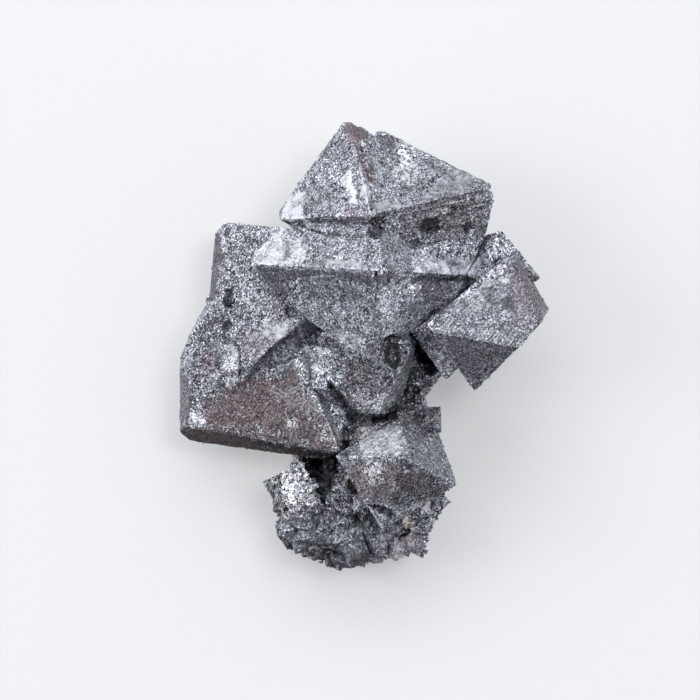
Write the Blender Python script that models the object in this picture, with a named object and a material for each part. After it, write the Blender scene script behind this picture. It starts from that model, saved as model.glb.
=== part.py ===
"""Hematite pseudomorph: octahedral crystals grown together, hematite in the form of magnetite.

The cluster lies on its back, on the flat face where it was broken from its matrix, at z = 0.
+Z comes out of its best side, +Y is up and +X is right on that side. Lengths here are in
millimetres, and the mesh is made in metres. The origin ends up under the middle of the cluster.
"""
import math
import random
from collections import namedtuple

import bmesh
import bpy
from mathutils import Euler, Matrix, Vector

MM = 0.001
MERGE_DISTANCE = 0.000004
PART_NAME = "hematite_cluster"

# Half axes of the large octahedra, from the middle to a corner
UPPER_LEFT_AXIS = 11.7
UPPER_RIGHT_AXIS = 13.3
MIDDLE_AXIS = 16.0
RIGHT_AXIS = 12.6
LOWER_LEFT_AXIS = 15.9
LEFT_BLOCK_AXIS = 18.0
LOBE_AXIS = 9.8
BOTTOM_AXIS = 8.6

# How much of a half axis is worn off each corner
CORNER_WEAR = 0.03

# A block that is larger than the cluster, to cut others from, and how near a cut a corner counts as on it
STOCK_SIZE = 200
ON_CUT = 0.00001

# The random order of the small crystals of the crust and of the lumps of the root
CRUST_SEED = 7
ROOT_SEED = 5

# Heights over the contact face: where the crystals stand clear of the root, and the crust's top and foot
ROOT_TOP = 8.5
CRUST_TOP = 10.5
CRUST_FOOT = 1.0

# The eight faces of an octahedron, by the signs of its axes
FACES = [(x, y, z) for x in (1, -1) for y in (1, -1) for z in (1, -1)]
CORNERS = [(1, 0, 0), (-1, 0, 0), (0, 1, 0), (0, -1, 0), (0, 0, 1), (0, 0, -1)]

# A crystal's middle, its half axis, and its turn as a matrix
Growth = namedtuple("Growth", "at half_axis facing")


def turn(x, y, z):
    """A turn about X, then Y, then Z, in degrees."""
    return Euler((math.radians(x), math.radians(y), math.radians(z)), "XYZ").to_matrix()


def face_up(roll, pitch, yaw):
    """Face + + + up and its X corner at roll degrees, then tipped about X and about Y."""
    up = Vector((1, 1, 1)).normalized()
    along = Vector((2, -1, -1)).normalized()
    flat = Matrix((along, up.cross(along), up))
    tip = Matrix.Rotation(math.radians(yaw), 3, "Y") @ Matrix.Rotation(math.radians(pitch), 3, "X")
    return tip @ Matrix.Rotation(math.radians(roll), 3, "Z") @ flat


MIDDLE = Growth(Vector((0.3, 10.9, 13.0)), MIDDLE_AXIS, turn(1, 7, -3))
UPPER_LEFT = Growth(Vector((-0.1, 19.9, 12.0)), UPPER_LEFT_AXIS, turn(10.1, 3.1, 9.5))
UPPER_RIGHT = Growth(Vector((5.8, 17.8, 11.0)), UPPER_RIGHT_AXIS, turn(-8.9, -19.6, 20.7))
RIGHT = Growth(Vector((17.4, 3.3, 14.0)), RIGHT_AXIS, turn(21.1, 40.3, 4.9))
LOWER_LEFT = Growth(Vector((-13.5, -6.2, 1.7)), LOWER_LEFT_AXIS, face_up(202.3, 6.5, -6))
LEFT_BLOCK = Growth(Vector((-14.7, 4.4, 1.6)), LEFT_BLOCK_AXIS, face_up(131.6, -5.4, -16))
LOBE = Growth(Vector((0.7, -2.5, 8.9)), LOBE_AXIS, face_up(-88, 6, -2))
BOTTOM = Growth(Vector((4.4, -16.8, 12.5)), BOTTOM_AXIS, turn(-16.1, 1.7, -14.1))


def normal_of(growth, face):
    """The outward normal of one face of a crystal."""
    return (growth.facing @ Vector(face)).normalized()


def on_face(growth, face, x, y, rise=0.0):
    """The point over x, y on one face's plane, lifted by rise along the face's normal."""
    normal = normal_of(growth, face)
    offset = growth.half_axis / math.sqrt(3) + rise
    z = growth.at.z + (offset - normal.x * (x - growth.at.x) - normal.y * (y - growth.at.y)) / normal.z
    return Vector((x, y, z))


def moved(growth, x, y, z, half_axis):
    """A crystal of the same turn beside another, as in parallel growth."""
    return Growth(growth.at + Vector((x, y, z)), half_axis, growth.facing)


UPPER_RIGHT_STEPS = [
    moved(UPPER_RIGHT, 0.6, -0.8, -0.1, 13.2),
    moved(UPPER_RIGHT, 1.5, -1.7, -0.6, 13.1),
]


def side(x, y, z, facing, lean=0):
    """A plane through a point: which way it faces round Z, and how far it leans up, in degrees."""
    level = math.cos(math.radians(lean))
    normal = Vector((
        level * math.cos(math.radians(facing)),
        level * math.sin(math.radians(facing)),
        math.sin(math.radians(lean)),
    ))
    return Vector((x, y, z)), normal


def ring(outline, z, lean):
    """Side planes through the edges of a clockwise outline at height z."""
    planes = []
    for (x0, y0), (x1, y1) in zip(outline, outline[1:] + outline[:1]):
        facing = math.degrees(math.atan2(y1 - y0, x1 - x0)) + 90
        planes.append(side(x0, y0, z, facing, lean))
    return planes


def cut(bm, point, normal):
    """Take off what lies beyond a plane, and close the cut."""
    everything = bm.verts[:] + bm.edges[:] + bm.faces[:]
    bmesh.ops.bisect_plane(
        bm, geom=everything, dist=ON_CUT, plane_co=point, plane_no=normal, clear_outer=True
    )
    rim = [edge for edge in bm.edges if edge.is_boundary]
    if rim:
        bmesh.ops.holes_fill(bm, edges=rim, sides=0)


def crystal(name, growth, reach=None, planes=()):
    """An octahedron with worn corners, a reach for each face that grew more or less, and further cuts."""
    reach = reach or {}
    reaches = [reach.get(face, 1.0) for face in FACES]
    start = growth.half_axis * max(reaches) * 1.01
    bm = bmesh.new()
    bmesh.ops.create_uvsphere(bm, u_segments=4, v_segments=2, radius=start)
    bmesh.ops.transform(bm, matrix=Matrix.Translation(growth.at) @ growth.facing.to_4x4(), verts=bm.verts)
    for face, factor in zip(FACES, reaches):
        normal = normal_of(growth, face)
        cut(bm, growth.at + normal * (growth.half_axis / math.sqrt(3) * factor), normal)
    if max(reaches) == 1.0:
        for corner in CORNERS:
            axis = normal_of(growth, corner)
            cut(bm, growth.at + axis * growth.half_axis * (1 - CORNER_WEAR), axis)
    for point, normal in planes:
        cut(bm, point, normal)
    return as_object(name, bm)


def block(name, outline, z, lean, top, foot):
    """A block with the sides of a clockwise outline at height z, and a flat top and foot."""
    bm = bmesh.new()
    bmesh.ops.create_cube(bm, size=STOCK_SIZE)
    planes = ring(outline, z, lean) + [side(0, 0, top, 0, 90), side(0, 0, foot, 0, -90)]
    for point, normal in planes:
        cut(bm, point, normal)
    return as_object(name, bm)


def plate(name, outline, growth, face, rise, depth, lean):
    """A plate on a crystal's face: leaning sides through an outline, and a top parallel to the face."""
    normal = normal_of(growth, face)
    centre = on_face(growth, face, *outline[0], rise)
    bm = bmesh.new()
    bmesh.ops.create_cube(bm, size=STOCK_SIZE)
    planes = ring(outline, centre.z, lean) + [(centre, normal), (centre - normal * depth, -normal)]
    for point, outward in planes:
        cut(bm, point, outward)
    return as_object(name, bm)


def as_object(name, bm):
    """The bmesh, in millimetres, as an object in metres with its faces pointing out."""
    bmesh.ops.scale(bm, vec=(MM, MM, MM), verts=bm.verts)
    bmesh.ops.recalc_face_normals(bm, faces=bm.faces)
    mesh = bpy.data.meshes.new(name)
    bm.to_mesh(mesh)
    bm.free()
    return bpy.data.objects.new(name, mesh)


def upper_left():
    """The upper left octahedron, with two ledges beside its ridge and one under its lower edge."""
    return [
        crystal("upper_left", UPPER_LEFT),
        crystal("upper_left_ridge", moved(UPPER_LEFT, 1.1, -0.3, -0.1, 11.6)),
        crystal("upper_left_foot", moved(UPPER_LEFT, 1.5, -2.0, -1.2, 11.0)),
    ]


def upper_right():
    """The upper right octahedron, and the steps that its lower face makes under the ridge."""
    edge = side(17.3, 21.5, 11.5, -8, -8)
    return [
        crystal("upper_right", UPPER_RIGHT),
        crystal("upper_right_step_1", UPPER_RIGHT_STEPS[0], planes=[edge]),
        crystal("upper_right_step_2", UPPER_RIGHT_STEPS[1], planes=[edge]),
    ]


def middle():
    """The big octahedron, corner to the viewer, with the slab that stands on its lower left face."""
    slab_tip = 9.0
    slab_drop = MIDDLE_AXIS * math.sin(math.radians(slab_tip))
    slab = Growth(
        MIDDLE.at + MIDDLE.facing @ Vector((0, -slab_drop, 0)),
        MIDDLE_AXIS - 0.8,
        MIDDLE.facing @ turn(-slab_tip, 0, 0),
    )
    slab_edges = [
        side(-1.6, -0.7, 18.5, -122, -25),
        side(2.2, 0.7, 18.5, -72, -25),
        side(4.7, 5.4, 18.5, -27, -10),
        side(-11.3, 5.4, 18.5, 152),
    ]
    return [
        crystal("middle", MIDDLE),
        crystal("middle_slab", slab, planes=slab_edges),
        crystal("middle_knob_1", moved(MIDDLE, 2.2, -0.6, 12.0, 3.0)),
        crystal("middle_knob_2", moved(MIDDLE, 4.0, -1.0, 10.2, 2.6)),
        crystal("middle_knob_3", moved(MIDDLE, 5.2, -2.6, 7.8, 2.5)),
    ]


def right():
    """The right octahedron with its outer edge broken off, and the small peak above it."""
    edges = [side(25.8, 5.6, 15.5, -43), side(15.2, -5.9, 15.5, 213, -5)]
    peak = Growth(Vector((18.0, 10.8, 10.8)), 6.6, turn(20, -10, -8))
    return [
        crystal("right", RIGHT, planes=edges),
        crystal("right_peak", peak, planes=[side(18.0, 16.0, 12.0, 99)]),
    ]


def left():
    """The broad block at the left and the large octahedron below it, with the ledge between them."""
    lower_reach = {(1, -1, 1): 1.7, (-1, 1, 1): 1.12}
    lower_sides = [
        side(-25.7, -13.2, 8.5, 180, -4),
        side(-24.3, -12.5, 10.3, 179, 35),
        side(-25.7, -0.4, 8.5, 153),
        side(-8.8, -14.8, 6.5, -97, -5),
        side(-24.4, -13.6, 6.5, -140),
    ]
    block_reach = {(1, 1, -1): 1.6, (1, -1, 1): 1.5, (1, -1, -1): 1.6, (-1, -1, 1): 1.6}
    block_sides = [
        side(-19.1, 17.6, 10.5, 83, -5),
        side(-21.3, 8.4, 10.5, 175, -4),
        side(-20.7, 15.5, 10.5, 137),
        side(-20.2, 6.7, 10.1, 175, 35),
        side(-17.0, -2.6, 12.5, -95, 55),
    ]
    neighbour_sides = [side(-1.6, -12.5, 9.5, -69, -10), side(-4.7, -0.1, 9.5, 14)]
    flake = [
        (-19.8, 0.4), (-18.1, 0.8), (-17.0, -0.4), (-17.0, -3.2), (-18.4, -5.6), (-19.5, -4.7), (-20.6, -2.6),
    ]
    return [
        crystal("lower_left", LOWER_LEFT, lower_reach, lower_sides),
        crystal("lower_left_step", moved(LOWER_LEFT, 4.7, 1.3, -0.5, 14.5), planes=neighbour_sides),
        crystal("left_block", LEFT_BLOCK, block_reach, block_sides),
        plate("flake", flake, LOWER_LEFT, (1, 1, 1), 1.5, 4, 35),
    ]


def lobe():
    """The lobe under the middle octahedron, with a blunt lower edge, and the wedge beside it."""
    lobe_sides = [
        side(3.8, -8.8, 13.5, -90, -15),
        side(6.6, -1.5, 13.5, -15),
        side(-5.8, -5.9, 13.5, 176),
    ]
    return [
        crystal("lobe", LOBE, planes=lobe_sides),
        crystal("wedge", Growth(Vector((9.9, -0.4, 11.5)), 3.6, face_up(-66, -10, -20))),
    ]


def bottom():
    """The bottom block, and the bright lump at the left of its crust."""
    reach = {(1, 1, -1): 2.3}
    sides = [side(5.6, -8, 13.5, 90, -5), side(10.8, -8, 12.5, 12, -10)]
    return [
        crystal("bottom", BOTTOM, reach, sides),
        crystal("bright_lump", Growth(Vector((-9.6, -19.8, 9.0)), 4.2, turn(28, 5, -12))),
    ]


def random_turn(rng):
    """Any turn at all."""
    return turn(rng.uniform(0, 360), rng.uniform(0, 360), rng.uniform(0, 360))


def standing_out(name, count, points, sizes, rng):
    """Small octahedra at any turn, with their middles at points that a function gives."""
    pieces = []
    for index in range(count):
        growth = Growth(points(rng), rng.uniform(*sizes), random_turn(rng))
        pieces.append(crystal("%s_%02d" % (name, index), growth))
    return pieces


def along_outline(outline, low, high, inset):
    """A function that gives points just inside an outline, between two heights."""
    centre = Vector((sum(x for x, y in outline), sum(y for x, y in outline))) / len(outline)

    def point(rng):
        index = rng.randrange(len(outline))
        start = Vector(outline[index - 1])
        end = Vector(outline[index])
        place = start.lerp(end, rng.random())
        place += (centre - place).normalized() * inset
        return Vector((place.x, place.y, rng.uniform(low, high)))

    return point


def crust():
    """The mass of small crystals under the bottom block: a core with octahedra standing out of it."""
    outline = [
        (-11.1, -20.7), (-4.7, -17.6), (10.4, -17.0), (12.1, -20.7), (8.6, -23.5), (8.2, -26.5),
        (6, -28.6), (1.5, -28.4), (-3.3, -29.8), (-5.8, -29.2), (-10.2, -25.5),
    ]
    lower_rim = outline[3:]

    def on_top(rng):
        return Vector((rng.uniform(-9, 8), rng.uniform(-28, -20), CRUST_TOP - 0.4))

    def at_rim(rng):
        index = rng.randrange(1, len(lower_rim))
        place = Vector(lower_rim[index - 1]).lerp(Vector(lower_rim[index]), rng.random())
        return Vector((place.x * 0.97, place.y + 0.6, rng.uniform(3, CRUST_TOP - 1)))

    rng = random.Random(CRUST_SEED)
    return (
        [block("crust", outline, 9.5, 10, CRUST_TOP, CRUST_FOOT)]
        + standing_out("crust_rim", 34, at_rim, (1.4, 2.4), rng)
        + standing_out("crust_top", 22, on_top, (1.3, 2.3), rng)
    )


def root():
    """The broken root that carries the crystals, down to the flat contact face, and its lumps."""
    upper = [
        (-8.8, 16.1), (9.1, 16.6), (14.5, 11.9), (12.1, 2.6), (9.9, -4.3), (7.4, -7.0), (-6.0, -12.5),
        (-17, -9.7), (-19.1, 6.7),
    ]
    lower = [(-5.0, -6.0), (7.4, -6.5), (9.6, -14.0), (9.0, -20.0), (-3.0, -22.0), (-6.5, -13.0)]
    foot = [(-9.0, -12.0), (-2.0, -12.0), (-2.0, -22.5), (-10.5, -22.5), (-10.0, -18.0)]
    rng = random.Random(ROOT_SEED)
    return [
        block("root_upper", upper, 7.5, 0, ROOT_TOP, 0),
        block("root_lower", lower, 7.5, 0, ROOT_TOP, 0),
        block("root_foot", foot, 2.0, 5, 3.0, 0),
    ] + standing_out("root_lump", 26, along_outline(upper + lower, 1.0, 6.0, 1.6), (2.4, 3.8), rng)


def pits():
    """Pits in the faces, each in the form of a small octahedron turned as its own crystal."""
    below_ridge = (1, -1, 1)
    stepped = UPPER_RIGHT_STEPS[1]
    holes = [
        (stepped, below_ridge, 9.1, 16.9, 1.7),
        (stepped, below_ridge, 11.8, 18.2, 1.1),
        (stepped, below_ridge, 14.5, 16.3, 1.2),
        (stepped, below_ridge, 8.6, 14.6, 1.0),
        (LEFT_BLOCK, (1, 1, 1), -18.4, 6.6, 1.3),
        (LEFT_BLOCK, (1, 1, 1), -18.7, 3.3, 0.9),
        (LOBE, (1, 1, 1), 3.9, -0.6, 2.0),
        (RIGHT, (-1, 1, 1), 17.0, 7.3, 1.0),
        (RIGHT, (-1, 1, 1), 19.2, 8.0, 1.2),
    ]
    hollow = [(-14.6, -2.4), (-8.6, 2.0), (-8.6, -0.6), (-11.8, -2.6)]
    return [
        crystal("pit_%d" % index, Growth(on_face(growth, face, x, y), size, growth.facing))
        for index, (growth, face, x, y, size) in enumerate(holes)
    ] + [plate("hollow", hollow, LOWER_LEFT, (1, 1, 1), 1.2, 2.6, -20)]


def empty_collection(name):
    """A collection with nothing in it, linked to the scene."""
    collection = bpy.data.collections.new(name)
    bpy.context.scene.collection.children.link(collection)
    return collection


def hematite():
    """Steel grey hematite."""
    material = bpy.data.materials.new("hematite")
    material.use_nodes = True
    shader = material.node_tree.nodes["Principled BSDF"]
    shader.inputs["Base Color"].default_value = (0.17, 0.17, 0.185, 1)
    shader.inputs["Roughness"].default_value = 0.42
    shader.inputs["Metallic"].default_value = 0.75
    return material


def as_guides(name, pieces):
    """The pieces in a collection of their own, as outlines that are used and not shown."""
    collection = empty_collection(name)
    for piece in pieces:
        collection.objects.link(piece)
        piece.hide_render = True
        piece.display_type = "WIRE"
    return collection


def boolean(body, name, operation, collection):
    """A Boolean of the body with a whole collection."""
    modifier = body.modifiers.new(name, "BOOLEAN")
    modifier.operation = operation
    modifier.solver = "EXACT"
    modifier.operand_type = "COLLECTION"
    modifier.collection = collection


def fuse(pieces, hollows):
    """One mesh of all the pieces, less the hollows and what lies under the contact face."""
    body = pieces[0]
    bpy.context.scene.collection.objects.link(body)
    boolean(body, "grown together", "UNION", as_guides("grown_together", pieces[1:]))
    boolean(body, "hollows", "DIFFERENCE", as_guides("cutters", hollows))
    bpy.context.view_layer.update()
    evaluated = body.evaluated_get(bpy.context.evaluated_depsgraph_get())
    mesh = bpy.data.meshes.new_from_object(evaluated)
    bpy.data.objects.remove(body)
    return mesh


def bodies_of(bm):
    """The faces of each body, found by walking from face to face over shared edges."""
    waiting = set(bm.faces)
    bodies = []
    while waiting:
        front = [waiting.pop()]
        body = []
        while front:
            face = front.pop()
            body.append(face)
            for edge in face.edges:
                for other in edge.link_faces:
                    if other in waiting:
                        waiting.remove(other)
                        front.append(other)
        bodies.append(body)
    return bodies


def drop_loose_specks(bm):
    """Keep the largest body only, without specks that touch it at no more than a corner."""
    bodies = sorted(bodies_of(bm), key=len)
    for body in bodies[:-1]:
        bmesh.ops.delete(bm, geom=body, context="FACES")


def clean(mesh):
    """Merge what the joins left double, make the faces triangles, and centre the cluster over the origin."""
    bm = bmesh.new()
    bm.from_mesh(mesh)
    bmesh.ops.remove_doubles(bm, verts=bm.verts, dist=MERGE_DISTANCE)
    bmesh.ops.dissolve_degenerate(bm, edges=bm.edges, dist=MERGE_DISTANCE)
    bmesh.ops.triangulate(bm, faces=bm.faces)
    drop_loose_specks(bm)
    xs = [vert.co.x for vert in bm.verts]
    ys = [vert.co.y for vert in bm.verts]
    middle_of = Vector(((max(xs) + min(xs)) / 2, (max(ys) + min(ys)) / 2, 0))
    bmesh.ops.translate(bm, verts=bm.verts, vec=-middle_of)
    bm.to_mesh(mesh)
    bm.free()


def under_contact_face():
    """What lies below the flat face that the cluster rests on."""
    reach = STOCK_SIZE / 3
    outline = [(-reach, reach), (reach, reach), (reach, -reach), (-reach, -reach)]
    return block("under_contact_face", outline, 0, 0, 0, -reach)


def build():
    """The cluster as one object."""
    for thing in list(bpy.data.objects):
        bpy.data.objects.remove(thing)
    pieces = middle() + upper_left() + upper_right() + right() + left() + lobe() + bottom() + crust() + root()
    mesh = fuse(pieces, pits() + [under_contact_face()])
    clean(mesh)
    mesh.materials.clear()
    mesh.materials.append(hematite())
    cluster = bpy.data.objects.new(PART_NAME, mesh)
    empty_collection(PART_NAME).objects.link(cluster)


build()
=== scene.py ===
"""Looks of the hematite pseudomorph: the skin of each crystal, the grains on it, and its surface, with
painted light and shade in places.

Every skin is worked out in millimetres, in the CAD model's own layout: +Z comes out of the best
side, +Y is up and +X is right on that side. It is put in metres and centred as it becomes a mesh.
"""

import math
import random
from collections import namedtuple
from itertools import product

import bpy
import numpy as np
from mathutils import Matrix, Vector


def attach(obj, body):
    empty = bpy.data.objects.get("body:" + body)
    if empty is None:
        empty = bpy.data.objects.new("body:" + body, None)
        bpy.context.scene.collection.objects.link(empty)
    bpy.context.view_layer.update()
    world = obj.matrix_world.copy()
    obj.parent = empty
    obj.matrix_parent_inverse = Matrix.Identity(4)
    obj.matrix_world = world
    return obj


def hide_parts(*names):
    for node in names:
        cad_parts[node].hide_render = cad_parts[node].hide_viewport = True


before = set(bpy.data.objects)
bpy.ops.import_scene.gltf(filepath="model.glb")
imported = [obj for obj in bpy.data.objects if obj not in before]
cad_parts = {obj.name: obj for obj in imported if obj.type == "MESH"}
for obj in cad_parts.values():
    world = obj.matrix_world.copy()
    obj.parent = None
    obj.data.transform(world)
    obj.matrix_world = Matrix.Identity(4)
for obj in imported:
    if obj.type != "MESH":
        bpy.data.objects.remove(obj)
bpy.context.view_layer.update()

MM = 0.001
NODE = "hematite_cluster"
CENTRED_BY = np.array([0.1022, -0.1838, 0.0])

# Where the cluster is seen from: straight above, with the plane in focus this far away and this high
VIEW_DISTANCE = 430.0
VIEW_PLANE = 15.5
VIEW_AT = np.array([-1.921, -0.137])
MM_PER_PIXEL = 0.1372
VIEW_PIXELS = 700

# How sharp the edges are, the length of a grid cell, and how much of a half axis is worn off a corner
EDGE_POWER = 130
CELL = 0.165
CORNER_WEAR = 0.03
FLAKE_RISE = 0.8

# How deep in its neighbours a skin is hidden, and how far a point may sink and still be the open face
WELL_INSIDE = 0.45
SHALLOW = 0.3

FACES = [(x, y, z) for x in (1, -1) for y in (1, -1) for z in (1, -1)]
CORNERS = [(1, 0, 0), (-1, 0, 0), (0, 1, 0), (0, -1, 0), (0, 0, 1), (0, 0, -1)]

# Growth is a crystal's place, size and turn, and Body the planes that bound a solid. Cover is a
# finished skin, and Seats are the places on a skin where grains may sit
Growth = namedtuple("Growth", "at half_axis facing")
Body = namedtuple("Body", "name planes centre axes reach")
Cover = namedtuple("Cover", "points triangles finish")
Seats = namedtuple("Seats", "places outward finish")


# Numbers that look random, the same on every run

NEXT_CELLS = list(product((0, 1), repeat=3))
AXIS_FACTORS = np.array([73856093, 19349663, 83492791], np.uint32)
SEED_FACTOR = 2654435761
MIXING_ROUNDS = [(15, 2246822519), (13, 3266489917)]


def lattice_value(cell, seed):
    """A value from 0 to 1 for each whole-number place (N, 3), by mixing its bits: in each round they
    are shifted over themselves, then multiplied."""
    key = cell.astype(np.int64).astype(np.uint32)
    mixed = np.bitwise_xor.reduce(key * AXIS_FACTORS, axis=1)
    mixed = mixed ^ np.uint32(seed * SEED_FACTOR & 0xFFFFFFFF)
    for shift, factor in MIXING_ROUNDS:
        mixed = (mixed ^ (mixed >> np.uint32(shift))) * np.uint32(factor)
    return ((mixed ^ (mixed >> np.uint32(16))) & np.uint32(0xFFFFFF)).astype(np.float64) / 0xFFFFFF


def eased(value, low, high):
    """0 at low, 1 at high, and t * t * (3 - 2 * t) between them."""
    t = np.clip((value - low) / (high - low), 0, 1)
    return t * t * (3 - 2 * t)


def swell(points, size, seed):
    """Smooth noise from -1 to 1: values at places one size apart, blended by t * t * (3 - 2 * t)."""
    scaled = points / size
    low = np.floor(scaled)
    t = eased(scaled - low, 0, 1)
    total = np.zeros(len(points))
    for step in NEXT_CELLS:
        share = np.where(step, t, 1 - t).prod(axis=1)
        total += share * lattice_value(low + step, seed)
    return total * 2 - 1


def swells(points, layers):
    """Smooth noises added up: each layer is how much it counts, its size in mm, and its seed."""
    return sum(amount * swell(points, size, seed) for amount, size, seed in layers)


def grain_heights(points, size, tilt, seed):
    """Heights of little flat grains: the nearest of the scattered seeds one size apart owns a point,
    and the point's height is a random slope times its way from that seed, plus a random step."""
    scaled = points / size - 0.5
    low = np.floor(scaled)
    nearest = np.full(len(points), 9.0)
    height = np.zeros(len(points))
    for step in NEXT_CELLS:
        cell = low + step
        place = np.stack([lattice_value(cell, seed + k) for k in (1, 2, 3)], axis=1) * 0.8 + 0.1
        way = scaled + 0.5 - cell - place
        far = (way * way).sum(1)
        slope = np.stack([lattice_value(cell, seed + k) for k in (4, 5, 6)], axis=1) - 0.5
        own = (way * slope).sum(1) * 2 * tilt + (lattice_value(cell, seed + 7) - 0.5) * 0.5 * tilt
        closer = far < nearest
        nearest = np.where(closer, far, nearest)
        height = np.where(closer, own, height)
    return height * size


# The crystals' places and planes

def turned(x, y, z):
    """The matrix of a turn about X, then Y, then Z, in degrees."""
    a, b, c = (math.radians(angle) for angle in (x, y, z))
    about_x = np.array([[1, 0, 0], [0, math.cos(a), -math.sin(a)], [0, math.sin(a), math.cos(a)]])
    about_y = np.array([[math.cos(b), 0, math.sin(b)], [0, 1, 0], [-math.sin(b), 0, math.cos(b)]])
    about_z = np.array([[math.cos(c), -math.sin(c), 0], [math.sin(c), math.cos(c), 0], [0, 0, 1]])
    return about_z @ about_y @ about_x


def face_up(roll, pitch, yaw):
    """The matrix that puts face + + + up and the X corner at roll degrees, then tips about X and Y."""
    up = np.ones(3) / math.sqrt(3)
    along = np.array([2, -1, -1]) / math.sqrt(6)
    flat = np.stack([along, np.cross(up, along), up])
    return turned(0, yaw, 0) @ turned(pitch, 0, 0) @ turned(0, 0, roll) @ flat


def growth(at, half_axis, facing):
    """A crystal's place in mm, how far its corners reach from there, and its turn."""
    return Growth(np.array(at, float), half_axis, facing)


def moved(parent, x, y, z, half_axis):
    """A crystal of the same turn beside another, as in parallel growth."""
    return Growth(parent.at + (x, y, z), half_axis, parent.facing)


MIDDLE = growth((0.3, 10.9, 13.0), 16.0, turned(1, 7, -3))
UPPER_LEFT = growth((-0.1, 19.9, 12.0), 11.7, turned(10.1, 3.1, 9.5))
UPPER_RIGHT = growth((5.8, 17.8, 11.0), 13.3, turned(-8.9, -19.6, 20.7))
RIGHT = growth((17.4, 3.3, 14.0), 12.6, turned(21.1, 40.3, 4.9))
LOWER_LEFT = growth((-13.5, -6.2, 1.7), 15.9, face_up(202.3, 6.5, -6))
LEFT_BLOCK = growth((-14.7, 4.4, 1.6), 18.0, face_up(131.6, -5.4, -16))
LOBE = growth((0.7, -2.5, 8.9), 9.8, face_up(-88, 6, -2))
BOTTOM = growth((4.4, -16.8, 12.5), 8.6, turned(-16.1, 1.7, -14.1))
UPPER_RIGHT_STEPS = [moved(UPPER_RIGHT, 0.6, -0.8, -0.1, 13.2), moved(UPPER_RIGHT, 1.5, -1.7, -0.6, 13.1)]


def normal_of(crystal, face):
    """The unit normal of a turned crystal's face, or its axis towards a corner."""
    normal = crystal.facing @ np.array(face, float)
    return normal / np.linalg.norm(normal)


def side(x, y, z, facing, lean=0):
    """A plane (normal, offset) through a point: which way it faces round Z, and its lean up."""
    facing, lean = math.radians(facing), math.radians(lean)
    normal = np.array([math.cos(lean) * math.cos(facing), math.cos(lean) * math.sin(facing), math.sin(lean)])
    return normal, float(normal @ (x, y, z))


def ring(outline, z, lean):
    """Side planes through the edges of a clockwise outline at height z."""
    planes = []
    for (x0, y0), (x1, y1) in zip(outline, outline[1:] + outline[:1]):
        facing = math.degrees(math.atan2(y1 - y0, x1 - x0)) + 90
        planes.append(side(x0, y0, z, facing, lean))
    return planes


def as_body(name, planes, centre, axes):
    """A body of planes, with how far it reaches from its centre."""
    body = Body(name, planes, centre, axes, 0)
    ways = folded_square(24)[0] @ axes.T
    far = soft_radius(body, ways)[0] * np.linalg.norm(ways, axis=1)
    return body._replace(reach=far.max() * 1.03)


def worn(at, corners=CORNERS):
    """The planes that take the tips off some corners."""
    axes = [normal_of(at, corner) for corner in corners]
    return [(axis, float(axis @ at.at) + at.half_axis * (1 - CORNER_WEAR)) for axis in axes]


def crystal(name, at, reach=None, planes=(), centre=None):
    """An octahedron's eight planes, each at its own reach, its worn corners, and further cuts."""
    reach = reach or {}
    all_planes = []
    for face in FACES:
        normal = normal_of(at, face)
        out = at.half_axis / math.sqrt(3) * reach.get(face, 1)
        all_planes.append((normal, float(normal @ at.at) + out))
    if not reach:
        all_planes += worn(at)
    all_planes += list(planes)
    all_planes.append((np.array([0.0, 0.0, -1.0]), 0.0))
    centre = at.at if centre is None else np.array(centre, float)
    return as_body(name, all_planes, centre, at.facing)


def block(name, outline, z, lean, top, foot, centre):
    """A block with leaning sides through an outline, and a flat top and foot."""
    planes = ring(outline, z, lean) + [side(0, 0, top, 0, 90), side(0, 0, foot, 0, -90)]
    return as_body(name, planes, np.array(centre, float), turned(0, 0, 45))


# A crystal's skin

def folded_square(cells):
    """A square grid of (u, v) folded onto an octahedron: z = 1 - |u| - |v|, and where z is below 0,
    (u, v) is mirrored over the edge of the diamond. Points that meet on the square's rim are one."""
    line = np.linspace(-1, 1, cells + 1)
    u, v = np.meshgrid(line, line, indexing="ij")
    z = 1 - np.abs(u) - np.abs(v)
    fold_u = np.where(u < 0, -1, 1) * (1 - np.abs(v))
    fold_v = np.where(v < 0, -1, 1) * (1 - np.abs(u))
    ways = np.stack([np.where(z < 0, fold_u, u), np.where(z < 0, fold_v, v), z], axis=-1)
    index = np.arange((cells + 1) ** 2).reshape(cells + 1, cells + 1)
    half = cells // 2
    for rim in (index[0], index[-1], index[:, 0], index[:, -1]):
        rim[half + 1:] = rim[:half][::-1]
    index[0, -1] = index[-1, 0] = index[-1, -1] = index[0, 0]
    return ways.reshape(-1, 3), index


def coarser(index, mask, step):
    """Where every point round a block of the grid is in the mask, the block's points become one."""
    cells = len(index) - 1
    grid = mask[index]
    out = index.copy()
    count = cells // step
    starts = np.arange(1, count - 1) * step
    whole = np.ones((len(starts), len(starts)), bool)
    for di in range(-1, step + 1):
        for dj in range(-1, step + 1):
            whole &= grid[np.ix_(starts + di, starts + dj)]
    rows, columns = np.nonzero(whole)
    for di in range(step):
        for dj in range(step):
            out[starts[rows] + di, starts[columns] + dj] = index[starts[rows], starts[columns]]
    return out


def triangles_of(index):
    """Two triangles in each cell, parted along the diagonal that runs with the octahedron's edges."""
    a, b, c, d = index[:-1, :-1], index[1:, :-1], index[1:, 1:], index[:-1, 1:]
    cells = len(index) - 1
    first_half = np.arange(cells) < cells / 2
    same = first_half[:, None] == first_half[None, :]
    one = np.stack([np.stack([a, b, d], -1), np.stack([b, c, d], -1)], 2)
    two = np.stack([np.stack([a, b, c], -1), np.stack([a, c, d], -1)], 2)
    return np.where(same[:, :, None, None], one, two).reshape(-1, 3)


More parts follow.
